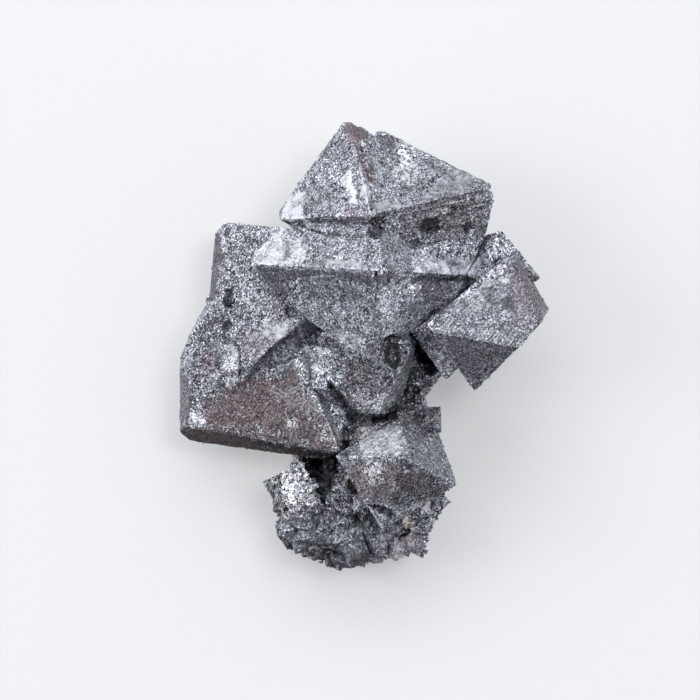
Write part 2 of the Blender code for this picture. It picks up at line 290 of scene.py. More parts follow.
def soft_radius(body, ways):
    """Radius r = (sum of (n . d / h) ** power) ** (-1 / power): the soft smallest of the planes'
    h / (n . d). Also how much each plane has to say at each point, as shares that add up to 1."""
    normals, offsets = (np.array(values) for values in zip(*body.planes))
    heights = offsets - normals @ body.centre
    ratio = np.maximum(ways @ normals.T, 0) / heights
    largest = ratio.max(1)
    power = (ratio / largest[:, None]) ** EDGE_POWER
    total = power.sum(1)
    return 1 / (largest * total ** (1 / EDGE_POWER)), power / total[:, None], normals


def depth_inside(points, others):
    """How far inside the other bodies' planes each point is at most; below 0 it is outside them all."""
    deepest = np.full(len(points), -9.0)
    for body in others:
        near = np.nonzero(((points - body.centre) ** 2).sum(1) < (body.reach + 1) ** 2)[0]
        if len(near):
            normals, offsets = (np.array(values) for values in zip(*body.planes))
            deepest[near] = np.maximum(deepest[near], (offsets - points[near] @ normals.T).min(1))
    return deepest


def seen_at(points):
    """Where each point is seen from the front, on the plane in focus, in pixels of the view."""
    reach = VIEW_DISTANCE / (VIEW_DISTANCE + VIEW_PLANE - points[:, 2])
    flat = (points[:, :2] - VIEW_AT) * reach[:, None] / MM_PER_PIXEL
    return VIEW_PIXELS / 2 + flat * (1, -1)


# Relief: what each crystal's faces carry, with places in pixels of the view from the front

# Hollows: depth in mm, how dark their painted shade is, the outline, and the pieces that stand clear of it
HOLLOWS = [
    (0.8, 0.95, [(419, 229), (422, 222), (430, 219), (438, 219), (442, 223), (440, 230), (433, 236),
                 (424, 235)], ()),
    (0.5, 0.85, [(446, 213), (449, 208), (455, 207), (458, 211), (454, 217), (448, 218)], ()),
    (0.6, 0.85, [(462, 226), (469, 224), (474, 229), (470, 235), (464, 234)], ()),
    (0.4, 0.75, [(408, 241), (418, 240), (427, 243), (440, 242), (436, 246), (424, 248), (412, 247)], ()),
    (1.0, 0.88, [(367, 226), (374, 217), (384, 213), (388, 223), (385, 236), (374, 239), (366, 233)], ()),
    (0.9, 0.75, [(226, 290), (232, 289), (234, 300), (232, 309), (225, 308), (223, 299)], ()),
    (0.5, 0.50, [(223, 322), (230, 321), (234, 327), (228, 331), (223, 328)], ()),
    (1.4, 0.40, [(387, 344), (394, 340), (399, 345), (401, 360), (396, 370), (389, 366), (384, 356)], ()),
    (0.2, 0.60, [(483, 290), (494, 286), (502, 297), (496, 307), (486, 302)], ()),
    (0.2, 0.80, [(500, 299), (509, 295), (517, 303), (511, 312), (502, 309)], ()),
    (0.6, 0.65, [(492, 260), (500, 259), (501, 264), (495, 266)], ()),
    (0.4, 0.45, [(288, 306), (296, 309), (298, 316), (290, 318), (285, 313)], ()),
    (1.3, 0.25, [(259, 362), (268, 350), (284, 338), (299, 329), (303, 342), (300, 357), (285, 364),
                 (270, 369)], ()),
    (0.5, 0.15, [(303, 328), (320, 335), (338, 345), (350, 357), (340, 357), (322, 346),
                 (305, 343)], ("middle_crystal", "middle_slab")),
    (0.8, 1.00, [(301, 466), (306, 449), (338, 451), (340, 474), (332, 488), (324, 506), (320, 500),
                 (308, 480)], ("bottom_crystal", "lower_left_crystal", "bright_lump")),
    (1.3, 0.95, [(324, 376), (334, 387), (347, 401), (362, 412), (380, 414), (396, 409), (397, 416),
                 (384, 420), (362, 420), (345, 410), (330, 394)], ("lobe",)),
    (1.2, 1.00, [(409, 333), (416, 335), (428, 353), (438, 370), (431, 377), (421, 369),
                 (414, 352)], ("wedge", "right_crystal")),
    (0.5, 0.60, [(404, 384), (422, 388), (420, 404), (398, 404)], ("lobe",)),
    (1.0, 0.95, [(366, 504), (378, 505), (390, 510), (399, 519), (392, 521), (380, 514)], ()),
    (0.8, 0.60, [(344, 424), (350, 430), (347, 456), (341, 458)], ()),
]

# Creases and cracks: half width in pixels, depth in mm, how dark their painted shade is, and the points along
# it
CREASES = [
    (1.6, 0.35, 0.75, [(280, 220), (290, 224), (300, 223), (308, 229), (322, 233), (340, 235)]),
    (1.2, 0.20, 0.50, [(318, 219), (333, 217), (342, 222), (352, 226)]),
    (1.0, 0.10, 0.60, [(355, 144), (361, 160), (367, 172), (375, 186)]),
    (0.8, 0.08, 0.45, [(359, 143), (366, 158), (377, 180)]),
    (1.0, 0.20, 0.55, [(420, 179), (432, 179), (445, 174)]),
    (1.0, 0.15, 0.45, [(402, 190), (420, 184), (438, 181)]),
    (1.0, 0.15, 0.40, [(398, 196), (415, 190), (432, 186)]),
    (1.1, 0.15, 0.35, [(331, 186), (340, 192), (346, 200)]),
    (1.0, 0.15, 0.45, [(340, 148), (345, 158), (342, 166)]),
    (1.3, 0.30, 0.60, [(376, 272), (378, 285), (376, 300)]),
    (1.2, 0.25, 0.55, [(389, 266), (388, 278), (389, 290)]),
    (1.0, 0.30, 0.75, [(239, 346), (240, 360), (240, 376)]),
    (1.2, 0.20, 0.60, [(222, 343), (230, 341), (238, 346)]),
    (1.5, 0.30, 0.60, [(344, 428), (345, 440), (343, 456)]),
    (1.0, 0.20, 0.50, [(397, 499), (412, 496), (428, 495)]),
    (1.0, 0.20, 0.55, [(416, 345), (420, 352), (428, 362), (436, 372)]),
    (0.9, 0.20, 0.60, [(513, 266), (522, 276), (534, 289), (548, 303)]),
    (0.9, 0.15, 0.45, [(521, 263), (533, 277), (541, 292)]),
    (0.9, 0.15, 0.50, [(528, 284), (532, 300), (539, 316)]),
    (0.9, 0.15, 0.45, [(539, 325), (522, 343), (505, 360)]),
    (1.2, 0.15, 0.45, [(480, 286), (466, 291), (455, 301), (440, 313), (434, 325)]),
    (0.9, 0.15, 0.45, [(340, 421), (352, 420), (362, 418)]),
    (1.0, 0.20, 0.50, [(300, 281), (296, 287), (290, 296), (283, 303)]),
    (0.8, 0.12, 0.40, [(360, 391), (368, 380), (377, 389)]),
    (0.8, 0.12, 0.35, [(244, 398), (252, 410), (262, 423)]),
    (0.8, 0.12, 0.35, [(262, 385), (278, 392), (296, 404)]),
]

# Streaks: depth in mm, spacing in mm, turn in degrees, how dark their painted shade is, and the outline they
# fill
STREAKS = [
    (0.05, 0.28, -63, 0.45, [(350, 140), (359, 141), (368, 160), (378, 184), (366, 184), (358, 163)]),
    (0.07, 0.55, -34, 0.30, [(300, 185), (318, 178), (340, 192), (340, 204), (318, 206), (300, 196)]),
    (0.12, 0.60, 13, 0.45, [(400, 212), (440, 200), (480, 186), (489, 194), (486, 214), (440, 210),
                            (404, 222)]),
    (0.04, 0.30, 2, 0.25, [(442, 318), (500, 310), (530, 318), (518, 342), (470, 339), (442, 332)]),
    (0.10, 0.60, -48, 0.40, [(515, 256), (538, 280), (550, 305), (539, 318), (528, 292), (518, 270)]),
    (0.08, 0.50, 42, 0.35, [(541, 322), (538, 330), (508, 362), (503, 360), (520, 343)]),
    (0.08, 0.50, 80, 0.30, [(178, 380), (190, 382), (189, 426), (178, 430)]),
]

# Outlines that carry several kinds of mark
UPPER_RIGHT_SHEEN = [(447, 170), (462, 170), (482, 182), (470, 192), (440, 199), (402, 208), (420, 199),
                     (440, 186)]
BOTTOM_SHEEN = [(360, 427), (378, 425), (402, 427), (405, 445), (400, 455), (385, 455), (362, 458),
                (358, 440)]
LOBE_RIM = [(352, 401), (362, 408), (385, 411), (394, 398), (390, 392), (374, 397), (356, 396)]
PITTED_FACE = [(400, 212), (480, 186), (490, 192), (484, 232), (440, 244), (404, 230)]
TOP_TIP = [(346, 127), (350, 122), (357, 123), (369, 138), (352, 140), (346, 134)]
LOWER_FACE = [(205, 398), (245, 374), (290, 374), (335, 425), (337, 452), (300, 448), (240, 437),
              (200, 426)]
BEIGE_SPOT = [(283, 368), (296, 366), (303, 382), (286, 386)]
MIDDLE_FACET = [(245, 328), (262, 334), (284, 341), (262, 362), (246, 362), (240, 345)]
BLOCK_SIDE = [(213, 236), (222, 232), (221, 262), (215, 300), (207, 302), (211, 262)]
LOWER_SIDE = [(177, 362), (188, 380), (190, 424), (178, 434), (175, 400)]

# Marks on the surface, by kind: strength and outline. The glint, light, sparkle and most dark marks are
# painted light and shade.
MARKS = {
    # Painted glints: near white patches in the base colour
    "bright": [
        (1, [(342, 175), (348, 169), (352, 173), (353, 183), (357, 193), (357, 204), (351, 203),
             (346, 193), (343, 184), (339, 180)]),
        (0.4, [(349, 138), (351, 138), (364, 168), (376, 205), (373, 205), (362, 171)]),
        (0.62, [(360, 188), (367, 184), (371, 190), (370, 199), (364, 201), (360, 196)]),
        (0.78, [(280, 212), (286, 202), (297, 188), (303, 191), (307, 199), (304, 207), (304, 219),
                (290, 222), (282, 218)]),
        (0.3, [(300, 190), (320, 186), (338, 200), (336, 214), (318, 212), (302, 206)]),
        (0.78, [(253, 260), (261, 244), (270, 239), (281, 238), (285, 246), (283, 260), (270, 263),
                (256, 263)]),
        (0.78, [(291, 246), (299, 240), (307, 246), (309, 257), (299, 264), (289, 262)]),
        (0.74, [(271, 233), (280, 220), (290, 227), (286, 238), (275, 239)]),
        (0.85, [(254, 260), (300, 259), (304, 266), (256, 264)]),
        (0.44, [(303, 262), (325, 258), (352, 258), (366, 264), (375, 271), (350, 269), (320, 267),
                (304, 266)]),
        (0.35, [(325, 259), (350, 258), (356, 268), (330, 268)]),
        (0.42, [(416, 264), (440, 260), (480, 256), (480, 275), (440, 274), (416, 274)]),
        (0.45, [(457, 262), (478, 262), (478, 272), (458, 273)]),
        (0.5, [(377, 208), (384, 200), (398, 203), (415, 203), (404, 208), (386, 212), (374, 216)]),
        (0.3, UPPER_RIGHT_SHEEN),
        (0.55, [(263, 321), (272, 315), (283, 321), (291, 330), (281, 340), (269, 339), (262, 331)]),
        (0.38, [(340, 340), (350, 350), (360, 345), (372, 331), (376, 322), (366, 322), (356, 335),
                (344, 332), (330, 328), (326, 332)]),
        (0.45, [(222, 349), (231, 344), (239, 352), (239, 372), (230, 390), (223, 382), (226, 366)]),
        (0.9, BOTTOM_SHEEN),
        (0.3, LOBE_RIM),
        (0.7, [(383, 337), (390, 329), (398, 337), (400, 345), (392, 339)]),
        (0.5, [(484, 255), (488, 258), (498, 275), (492, 274)]),
        (0.6, [(404, 278), (407, 277), (421, 293), (419, 295)]),
        (0.45, [(506, 361), (521, 344), (536, 330), (538, 333), (522, 348), (508, 363)]),
        (0.4, [(496, 276), (512, 273), (513, 286), (500, 283), (484, 290), (476, 288)]),
        (0.95, [(191, 414), (197, 413), (199, 420), (193, 424)]),
        (0.9, [(199, 421), (205, 419), (206, 424), (200, 425)]),
        (0.25, [(455, 303), (480, 287), (500, 276), (500, 288), (488, 292), (486, 308), (460, 318),
                (445, 312)]),
    ],
    # Painted light: patches where the base colour is made lighter
    "light": [
        (1.4, [(412, 282), (446, 282), (478, 278), (470, 292), (440, 306), (414, 300)]),
        (1.3, [(380, 284), (404, 280), (436, 302), (432, 330), (402, 345), (386, 335), (376, 300)]),
        (0.8, [(413, 240), (480, 240), (480, 275), (413, 275)]),
        (0.4, [(355, 420), (402, 420), (410, 456), (355, 458)]),
        (0.5, [(378, 528), (424, 528), (424, 548), (408, 560), (378, 562)]),
        (0.5, [(188, 410), (208, 410), (208, 428), (188, 428)]),
        (0.5, [(262, 345), (290, 335), (304, 330), (304, 358), (280, 366), (262, 368)]),
        (0.9, [(298, 326), (345, 354), (340, 362), (300, 350)]),
        (0.6, [(420, 345), (440, 350), (450, 378), (440, 378)]),
        (0.5, [(283, 340), (345, 352), (345, 385), (300, 380)]),
        (0.3, [(222, 343), (240, 346), (240, 390), (222, 390)]),
        (0.6, [(326, 328), (352, 346), (376, 322), (380, 336), (352, 358), (322, 336)]),
        (0.35, [(484, 236), (504, 232), (520, 262), (500, 276), (482, 260)]),
        (0.5, [(285, 464), (300, 463), (307, 478), (319, 500), (313, 509), (295, 522), (271, 492)]),
        (0.12, [(296, 288), (376, 288), (376, 340), (352, 354), (300, 326), (283, 310)]),
        (0.5, [(316, 388), (330, 392), (346, 414), (345, 440), (336, 440), (326, 410)]),
    ],
    # Painted glints: white flashes with near black between them in the base colour
    "painted_sparkle": [
        (0.35, [(253, 260), (261, 244), (270, 239), (281, 238), (290, 227), (307, 246), (309, 257),
                (299, 264)]),
        (0.7, BOTTOM_SHEEN),
        (0.45, LOBE_RIM),
        (1, [(397, 150), (403, 146), (412, 149), (416, 157), (406, 163), (398, 160)]),
        (0.5, [(395, 163), (412, 160), (425, 172), (410, 186), (390, 180)]),
        (1, [(285, 464), (300, 463), (307, 478), (319, 500), (313, 509), (300, 509), (295, 522),
             (284, 518), (271, 492), (278, 475)]),
        (0.8, [(364, 462), (380, 461), (386, 470), (380, 484), (366, 486), (362, 474)]),
        (0.2, [(270, 390), (300, 385), (325, 395), (330, 420), (300, 412), (276, 402)]),
        (0.6, [(300, 345), (325, 348), (322, 372), (312, 380), (302, 364)]),
        (0.6, [(222, 352), (238, 356), (238, 374), (226, 378)]),
        (0.6, [(285, 415), (298, 418), (300, 428), (288, 428)]),
        (0.5, [(428, 500), (440, 497), (440, 508), (430, 512), (412, 510), (414, 502)]),
        (0.6, [(450, 282), (470, 280), (466, 292), (452, 298)]),
        (0.5, [(320, 425), (340, 420), (340, 445), (326, 440)]),
        (0.35, [(524, 276), (540, 284), (551, 306), (543, 318), (534, 298)]),
        (0.6, [(441, 208), (448, 206), (452, 208), (447, 211), (446, 215), (441, 213)]),
    ],
    "smooth": [
        (0.9, TOP_TIP),
        (0.8, UPPER_RIGHT_SHEEN),
        (0.8, BEIGE_SPOT),
        (0.25, [(255, 268), (350, 272), (376, 276), (372, 282), (262, 282)]),
        (0.5, BLOCK_SIDE),
        (0.6, LOWER_SIDE),
        (0.4, [(437, 320), (463, 298), (486, 280), (513, 275), (530, 302), (537, 322), (506, 360),
               (460, 372)]),
        (0.5, [(416, 262), (478, 256), (480, 274), (416, 274)]),
        (0.7, [(455, 303), (480, 287), (512, 273), (516, 306), (486, 308), (460, 318), (445, 312)]),
        (0.7, [(264, 362), (272, 350), (284, 340), (298, 332), (299, 352), (286, 360)]),
        (0.5, [(344, 285), (364, 286), (362, 300), (350, 304)]),
        (0.5, [(180, 430), (215, 430), (262, 443), (260, 452), (200, 444)]),
    ],
    "smooth_patchy": [
        (0.4, LOWER_FACE),
        (0.5, MIDDLE_FACET),
        (0.6, [(290, 522), (302, 511), (424, 518), (424, 560), (338, 580), (290, 548)]),
        (0.3, [(345, 462), (400, 461), (450, 484), (440, 498), (400, 494), (360, 500), (340, 485)]),
    ],
    "lilac": [
        (0.5, BLOCK_SIDE),
        (0.45, MIDDLE_FACET),
        (0.5, LOWER_SIDE),
        (0.9, [(512, 266), (519, 262), (526, 280), (530, 302), (516, 306), (513, 285)]),
        (0.5, [(514, 306), (532, 304), (534, 322), (520, 330)]),
        (0.5, [(340, 205), (362, 204), (367, 222), (344, 222)]),
        (0.4, [(205, 350), (222, 348), (218, 372), (204, 372)]),
        (0.5, [(500, 262), (512, 262), (512, 272), (500, 273)]),
        (0.7, [(382, 532), (402, 528), (424, 530), (424, 547), (408, 558), (380, 562), (376, 550)]),
    ],
    # Brown: partly a reddish stain and partly a painted warm reflection on the faces turned down
    "brown": [
        (1, TOP_TIP),
        (0.6, [(350, 139), (359, 140), (368, 160), (378, 182), (366, 182), (358, 163)]),
        (1, [(181, 429), (215, 428), (240, 434), (262, 441), (300, 448), (335, 455), (300, 458),
             (240, 454), (176, 442)]),
        (0.9, [(402, 422), (409, 418), (412, 424), (405, 428)]),
        (0.8, [(406, 431), (410, 430), (410, 435), (406, 435)]),
        (0.5, [(418, 279), (448, 279), (440, 300), (425, 298)]),
        (0.7, [(386, 268), (391, 268), (392, 280), (388, 286)]),
        (0.5, BEIGE_SPOT),
        (0.5, [(200, 352), (214, 350), (212, 372), (202, 370)]),
    ],
    # Brown in patches: partly a reddish stain and partly a painted warm reflection
    "brown_patchy": [
        (0.9, LOWER_FACE),
        (0.8, [(518, 262), (540, 280), (552, 308), (540, 322), (530, 300)]),
        (0.8, [(345, 462), (400, 461), (450, 484), (440, 500), (400, 500), (360, 503), (340, 485)]),
        (0.5, PITTED_FACE),
        (0.6, [(345, 362), (375, 362), (382, 385), (360, 392), (345, 384)]),
    ],
    "pale": [
        (1, [(403, 516), (409, 515), (415, 525), (410, 530), (404, 525)]),
        (0.7, [(357, 554), (362, 555), (361, 559), (357, 558)]),
        (0.5, [(384, 557), (400, 554), (404, 558), (386, 562)]),
        (0.4, [(402, 534), (412, 540), (410, 545), (402, 540)]),
    ],
    # Mostly painted shade: in hollows, slits and gaps, under ridges, and over faces turned from the light; a
    # few are dark patches of the surface
    "dark": [
        (0.12, [(400, 190), (470, 165), (485, 184), (440, 200), (400, 210)]),
        (0.1, [(434, 325), (480, 285), (512, 270), (537, 322), (515, 346), (440, 338)]),
        (0.36, [(338, 458), (402, 456), (456, 484), (440, 505), (350, 505)]),
        (0.55, [(372, 478), (420, 472), (448, 486), (436, 502), (372, 503)]),
        (0.15, PITTED_FACE),
        (0.68, [(208, 236), (222, 232), (221, 262), (215, 300), (205, 302)]),
        (0.5, [(175, 362), (190, 380), (190, 426), (175, 434)]),
        (0.06, [(243, 326), (262, 332), (286, 341), (262, 364), (244, 364)]),
        (0.42, [(344, 125), (350, 121), (358, 121), (371, 138), (352, 142), (345, 135)]),
        (0.24, [(411, 412), (440, 405), (458, 450), (458, 484), (430, 470), (404, 456)]),
        (0.2, [(434, 330), (480, 312), (535, 322), (515, 350), (440, 345)]),
        (0.42, [(330, 358), (390, 358), (392, 394), (370, 400), (342, 392)]),
        (0.48, [(498, 256), (516, 252), (552, 300), (539, 322), (514, 300)]),
        (0.14, [(250, 374), (290, 374), (325, 404), (250, 404)]),
        (0.14, [(270, 520), (300, 508), (424, 520), (424, 560), (338, 576), (290, 545)]),
        (0.52, [(276, 534), (330, 545), (372, 548), (376, 566), (338, 580), (290, 556)]),
        (0.52, [(181, 429), (215, 428), (240, 434), (262, 441), (300, 448), (335, 455), (300, 459),
                (176, 442)]),
        (0.8, [(236, 434), (262, 441), (300, 448), (336, 455), (330, 459), (300, 453), (262, 446)]),
        (0.25, BEIGE_SPOT),
        (0.6, [(254, 267), (300, 269), (350, 272), (378, 276), (378, 282), (300, 281), (262, 282)]),
        (0.6, [(266, 484), (279, 475), (287, 499), (299, 518), (288, 524), (273, 507)]),
        (0.92, [(309, 458), (334, 458), (337, 474), (331, 488), (325, 506), (320, 503), (317, 490),
                (309, 474)]),
        (0.85, [(327, 380), (336, 387), (347, 400), (354, 407), (364, 414), (380, 417), (396, 413),
                (398, 419), (380, 423), (362, 420), (348, 412), (334, 397)]),
        (0.5, [(282, 300), (296, 305), (303, 322), (285, 318)]),
        (0.35, [(302, 283), (345, 284), (366, 290), (362, 300), (330, 302), (303, 298)]),
        (0.55, [(350, 288), (364, 288), (364, 300), (350, 302)]),
        (0.65, [(416, 276), (479, 276), (479, 281), (440, 281), (414, 281)]),
        (0.62, [(377, 133), (398, 139), (392, 152), (379, 147)]),
        (0.35, [(400, 210), (440, 198), (482, 184), (482, 190), (440, 206), (404, 219)]),
        (0.25, [(414, 216), (424, 208), (440, 206), (450, 214), (446, 236), (440, 249), (410, 248)]),
        (0.6, [(384, 346), (390, 341), (391, 352), (391, 361), (396, 369), (388, 366), (384, 356)]),
        (0.6, [(391, 360), (400, 358), (401, 366), (396, 371), (391, 367)]),
        (0.35, [(318, 140), (340, 138), (346, 160), (326, 160)]),
        (0.55, [(302, 203), (312, 204), (314, 212), (304, 216)]),
        (0.4, [(222, 336), (238, 338), (236, 346), (220, 345)]),
        (0.5, [(408, 382), (436, 386), (430, 396), (412, 402), (402, 400)]),
        (0.4, [(422, 410), (440, 408), (440, 420), (426, 420)]),
        (0.5, [(284, 244), (289, 240), (291, 256), (286, 258)]),
        (0.45, [(260, 287), (298, 284), (292, 300), (262, 296)]),
        (0.4, [(246, 372), (256, 362), (264, 366), (250, 377)]),
        (0.4, [(402, 336), (412, 334), (415, 398), (404, 408), (392, 411), (400, 384)]),
        (0.45, [(342, 393), (356, 396), (372, 405), (368, 413), (354, 408)]),
    ],
}
KINDS = ("bright", "light", "painted_sparkle", "smooth", "lilac", "brown", "pale", "dark")


def off_line(seen, start, end):
    """How far each seen point (N, 2) is from a straight piece of line."""
    start, way = np.array(start, float), np.subtract(end, start).astype(float)
    t = np.clip((seen - start) @ way / (way @ way), 0, 1)
    return np.hypot(*(seen - start - t[:, None] * way).T)


def inside_by(seen, outline):
    """How far inside a closed outline each seen point is; below 0 it is outside."""
    nearest = np.full(len(seen), np.inf)
    within = np.zeros(len(seen), bool)
    for start, end in zip(outline, outline[1:] + outline[:1]):
        nearest = np.minimum(nearest, off_line(seen, start, end))
        crosses = (start[1] > seen[:, 1]) != (end[1] > seen[:, 1])
        rise = end[1] - start[1] or 1e-9
        within ^= crosses & (seen[:, 0] < (end[0] - start[0]) * (seen[:, 1] - start[1]) / rise + start[0])
    return np.where(within, nearest, -nearest)


def at_least(values, amount, near=slice(None)):
    """Lift values to at least an amount, at some numbered points or at all of them."""
    values[near] = np.maximum(values[near], amount)


def near_to(seen, places, margin):
    """The numbers of the seen points in the box round some places."""
    low, high = np.min(places, axis=0) - margin, np.max(places, axis=0) + margin
    return np.nonzero(((seen > low) & (seen < high)).all(1))[0]


# Noises for rims and relief, as (how much, size in mm, seed)
MARK_RIM = [(2.2, 0.9, 71), (1.6, 0.32, 72), (1.4, 0.17, 76)]
PATCHINESS = [(9, 0.9, 73), (9, 0.35, 74), (5, 0.17, 77)]
HOLLOW_RIM = [(1.4, 0.7, 31), (0.8, 0.3, 32)]
THIN_LAYERS = [(1, 2.3, 13), (0.6, 0.9, 14)]


def marked(points, seen, front):
    """How strongly each kind of mark covers each point: its strength inside its outline and 0 outside, with a
    ragged rim, a wide soft one for the painted light, and with gaps in the patchy ones."""
    ragged = swells(points, MARK_RIM)
    broken = swells(points, PATCHINESS) - 1.5
    finish = {kind: np.zeros(len(points)) for kind in KINDS}
    for kind, patches in MARKS.items():
        values = finish[kind.replace("_patchy", "")]
        for strength, outline in patches:
            near = near_to(seen, outline, 6)
            inside = inside_by(seen[near], outline)
            if kind == "light":
                share = eased(inside + ragged[near], -5, 6)
            elif kind.endswith("_patchy"):
                share = eased(np.minimum(inside + ragged[near], inside / 2 + broken[near]), -0.8, 1.2)
            else:
                share = eased(inside + ragged[near], -0.6, 0.9)
            at_least(values, share * strength * front[near], near)
    return finish


def carved(body, points, seen, front, facing, finish):
    """How far each point sinks: in hollows, depth * eased(inside), in creases, depth * (1 - (off / width) **
    2), and in streaks, depth * noise drawn out along one way. The deep parts get painted shade."""
    sunk = np.zeros(len(points))
    walls = eased(facing, -0.6, -0.1)
    ragged = swells(points, HOLLOW_RIM)
    fine_rim = 2.0 * swell(points, 0.18, 35)
    uneven = 0.78 + 0.22 * eased(swell(points, 0.4, 36), -0.5, 0.1)
    for depth, dark, outline, clear in HOLLOWS:
        if body.name in clear:
            continue
        near = near_to(seen, outline, 3)
        inside = inside_by(seen[near], outline)
        sinking = eased(inside + ragged[near] / (1 + depth), -1.2, 1.5 + 2.2 * depth)
        shade = eased(inside + 1.4 * ragged[near] + fine_rim[near], -1.2, 2.4) * uneven[near]
        at_least(sunk, depth * sinking * front[near], near)
        # Painted shade in the hollow
        at_least(finish["dark"], dark * shade * walls[near], near)
    for width, depth, dark, line in CREASES:
        near = near_to(seen, line, 5)
        off = np.min([off_line(seen[near], start, end) for start, end in zip(line, line[1:])], axis=0)
        share = np.clip(1 - ((off + 0.6 * ragged[near]) / width) ** 2, 0, 1) * front[near]
        sunk[near] += depth * share
        # Painted shade in the crease
        at_least(finish["dark"], dark * share, near)
    for depth, spacing, angle, dark, outline in STREAKS:
        near = near_to(seen, outline, 4)
        a = math.radians(angle)
        flat = seen[near] * MM_PER_PIXEL
        along = flat[:, 0] * math.cos(a) - flat[:, 1] * math.sin(a)
        across = flat[:, 0] * math.sin(a) + flat[:, 1] * math.cos(a)
        drawn = np.stack([along / 9, across, np.zeros(len(near))], axis=1)
        lines = swell(drawn, spacing, 33) + 0.6 * swell(drawn, spacing / 2, 34)
        share = eased(inside_by(seen[near], outline) + ragged[near], -1, 2) * front[near]
        sunk[near] += depth * (1 + lines) * share
        # Painted shade in the streaks' grooves
        at_least(finish["dark"], dark * share * eased(lines, 0.1, 0.7), near)
    return sunk


def relief(points, finish, lumps, grain, facets):
    """Heights over the plane: swells, large facets, thin layers with sharp rims, pinholes, little tilted
    grains, and a random step in each cell of 0.05 mm. The patches of painted glint and the smooth patches
    stand a little higher. The pinholes get painted shade, and the rims of those patches are darker."""
    calm = np.clip(finish["smooth"] + 0.7 * finish["bright"], 0, 1)
    height = swells(points, [(lumps, 3.6, 11), (0.7 * lumps, 1.3, 12)]) + 0.03 * calm
    if facets:
        height += grain_heights(points, facets, 0.5, 51)
        height += 0.8 * grain_heights(points, facets * 0.45, 0.5, 61)
    layer = swells(points, THIN_LAYERS)
    layers = eased(layer, 0.05, 0.12) + eased(layer, 0.55, 0.62) + eased(-layer, 0.4, 0.47)
    height += 0.05 * grain * (1 - 0.8 * finish["smooth"]) * layers
    holes = eased(swell(points, 0.5, 15), 0.45, 0.68) * (1 - 0.7 * calm)
    height -= 0.12 * grain * holes
    # Painted shade in the pinholes
    at_least(finish["dark"], 0.5 * holes)
    for kind in ("bright", "smooth"):
        at_least(finish["dark"], 1.2 * finish[kind] * (1 - finish[kind]) * finish[kind].max())
    rough = grain * (1 - 0.7 * calm)
    height += rough * grain_heights(points, 0.24, 0.13, 21)
    return height + rough * 0.020 * (2 * lattice_value(np.floor(points / 0.05), 16) - 1)


def skin(body, everything, cells, lumps=0.05, grain=1.0, facets=0, whole=True):
    """A crystal's skin: the soft radius along each way of a folded square, moved along the normal by its
    relief. Where it is inside its neighbours it is drawn with fewer points. Also where grains may sit."""
    others = [other for other in everything if other is not body]
    ways, index = folded_square(cells)
    ways = ways @ body.axes.T
    radius, shares, normals = soft_radius(body, ways)
    points = body.centre + ways * radius[:, None]
    outward = shares @ normals
    outward /= np.linalg.norm(outward, axis=1)[:, None]
    front = eased(outward[:, 2], 0.02, 0.2)
    resting = shares[:, -1] if normals[-1][2] < -0.999 else np.zeros(len(points))
    seen = seen_at(points)
    finish = marked(points, seen, front)
    sunk = carved(body, points, seen, front, outward[:, 2], finish) if whole else np.zeros(len(points))
    height = relief(points, finish, lumps, grain, facets) - sunk
    hidden = (depth_inside(points, others) > WELL_INSIDE) & (sunk < SHALLOW)
    # Painted shade where the skin runs into a neighbour, broken up by noise
    corner = eased(depth_inside(points + 0.5 * outward, others), -WELL_INSIDE, 0.1)
    ragged = 0.75 + 0.5 * swell(points, 0.6, 75)
    at_least(finish["dark"], 0.62 * np.clip(corner * ragged, 0, 1))
    # A painted highlight along the skin's own edges where they face the front, away from its neighbours
    edge_highlight = eased(1 - shares.max(1), 0.05, 0.4) * (1 - corner) * eased(outward[:, 2], -0.2, 0.3)
    at_least(finish["light"], 0.35 * edge_highlight)
    points = points + outward * (height * (1 - resting))[:, None]
    at_least(points[:, 2], 0)
    seat = ~hidden & (outward[:, 2] > -0.2) & (sunk < SHALLOW)
    seat &= finish["smooth"] + finish["bright"] < 0.4
    seats = Seats(points[seat], outward[seat], {kind: values[seat] for kind, values in finish.items()})
    index = coarser(index, (outward[:, 2] < -0.15) & ~hidden, 2)
    index = coarser(index, hidden, 4)
    return tidy(points, triangles_of(index), finish), seats


def tidy(points, triangles, finish):
    """Drop triangles that have closed up and points that nothing uses, and turn the faces outwards."""
    a, b, c = triangles.T
    triangles = triangles[(a != b) & (b != c) & (c != a)]
    used, flat = np.unique(triangles, return_inverse=True)
    triangles = flat.reshape(-1, 3)
    points = points[used]
    finish = {kind: values[used] for kind, values in finish.items()}
    p, q, r = (points[triangles[:, k]] for k in range(3))
    if np.einsum("ij,ij->", p, np.cross(q, r)) < 0:
        triangles = triangles[:, ::-1]
    return Cover(points, triangles, finish)


# Meshes

def as_piece(name, skins, material):
    """One mesh from one or more skins, in metres, flat shaded, with its marks, painted light and shade among
    them, as point attributes.
    """
    starts = np.cumsum([0] + [len(cover.points) for cover in skins])
    points = np.concatenate([cover.points for cover in skins])
    triangles = np.concatenate([cover.triangles + start for cover, start in zip(skins, starts)])
    mesh = bpy.data.meshes.new(name)
    mesh.vertices.add(len(points))
    mesh.vertices.foreach_set("co", ((points - CENTRED_BY) * MM).astype(np.float32).ravel())
    mesh.loops.add(3 * len(triangles))
    mesh.loops.foreach_set("vertex_index", triangles.astype(np.int32).ravel())
    mesh.polygons.add(len(triangles))
    mesh.polygons.foreach_set("loop_start", np.arange(0, 3 * len(triangles), 3, dtype=np.int32))
    mesh.update(calc_edges=True)
    mesh.shade_flat()
    for kind in KINDS:
        values = np.concatenate([cover.finish[kind] for cover in skins]).astype(np.float32)
        mesh.attributes.new(kind, "FLOAT", "POINT").data.foreach_set("value", values)
    mesh.materials.append(material)
    piece = bpy.data.objects.new(name, mesh)
    bpy.context.scene.collection.objects.link(piece)
    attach(piece, "root")
    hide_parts(NODE)


# The crystals

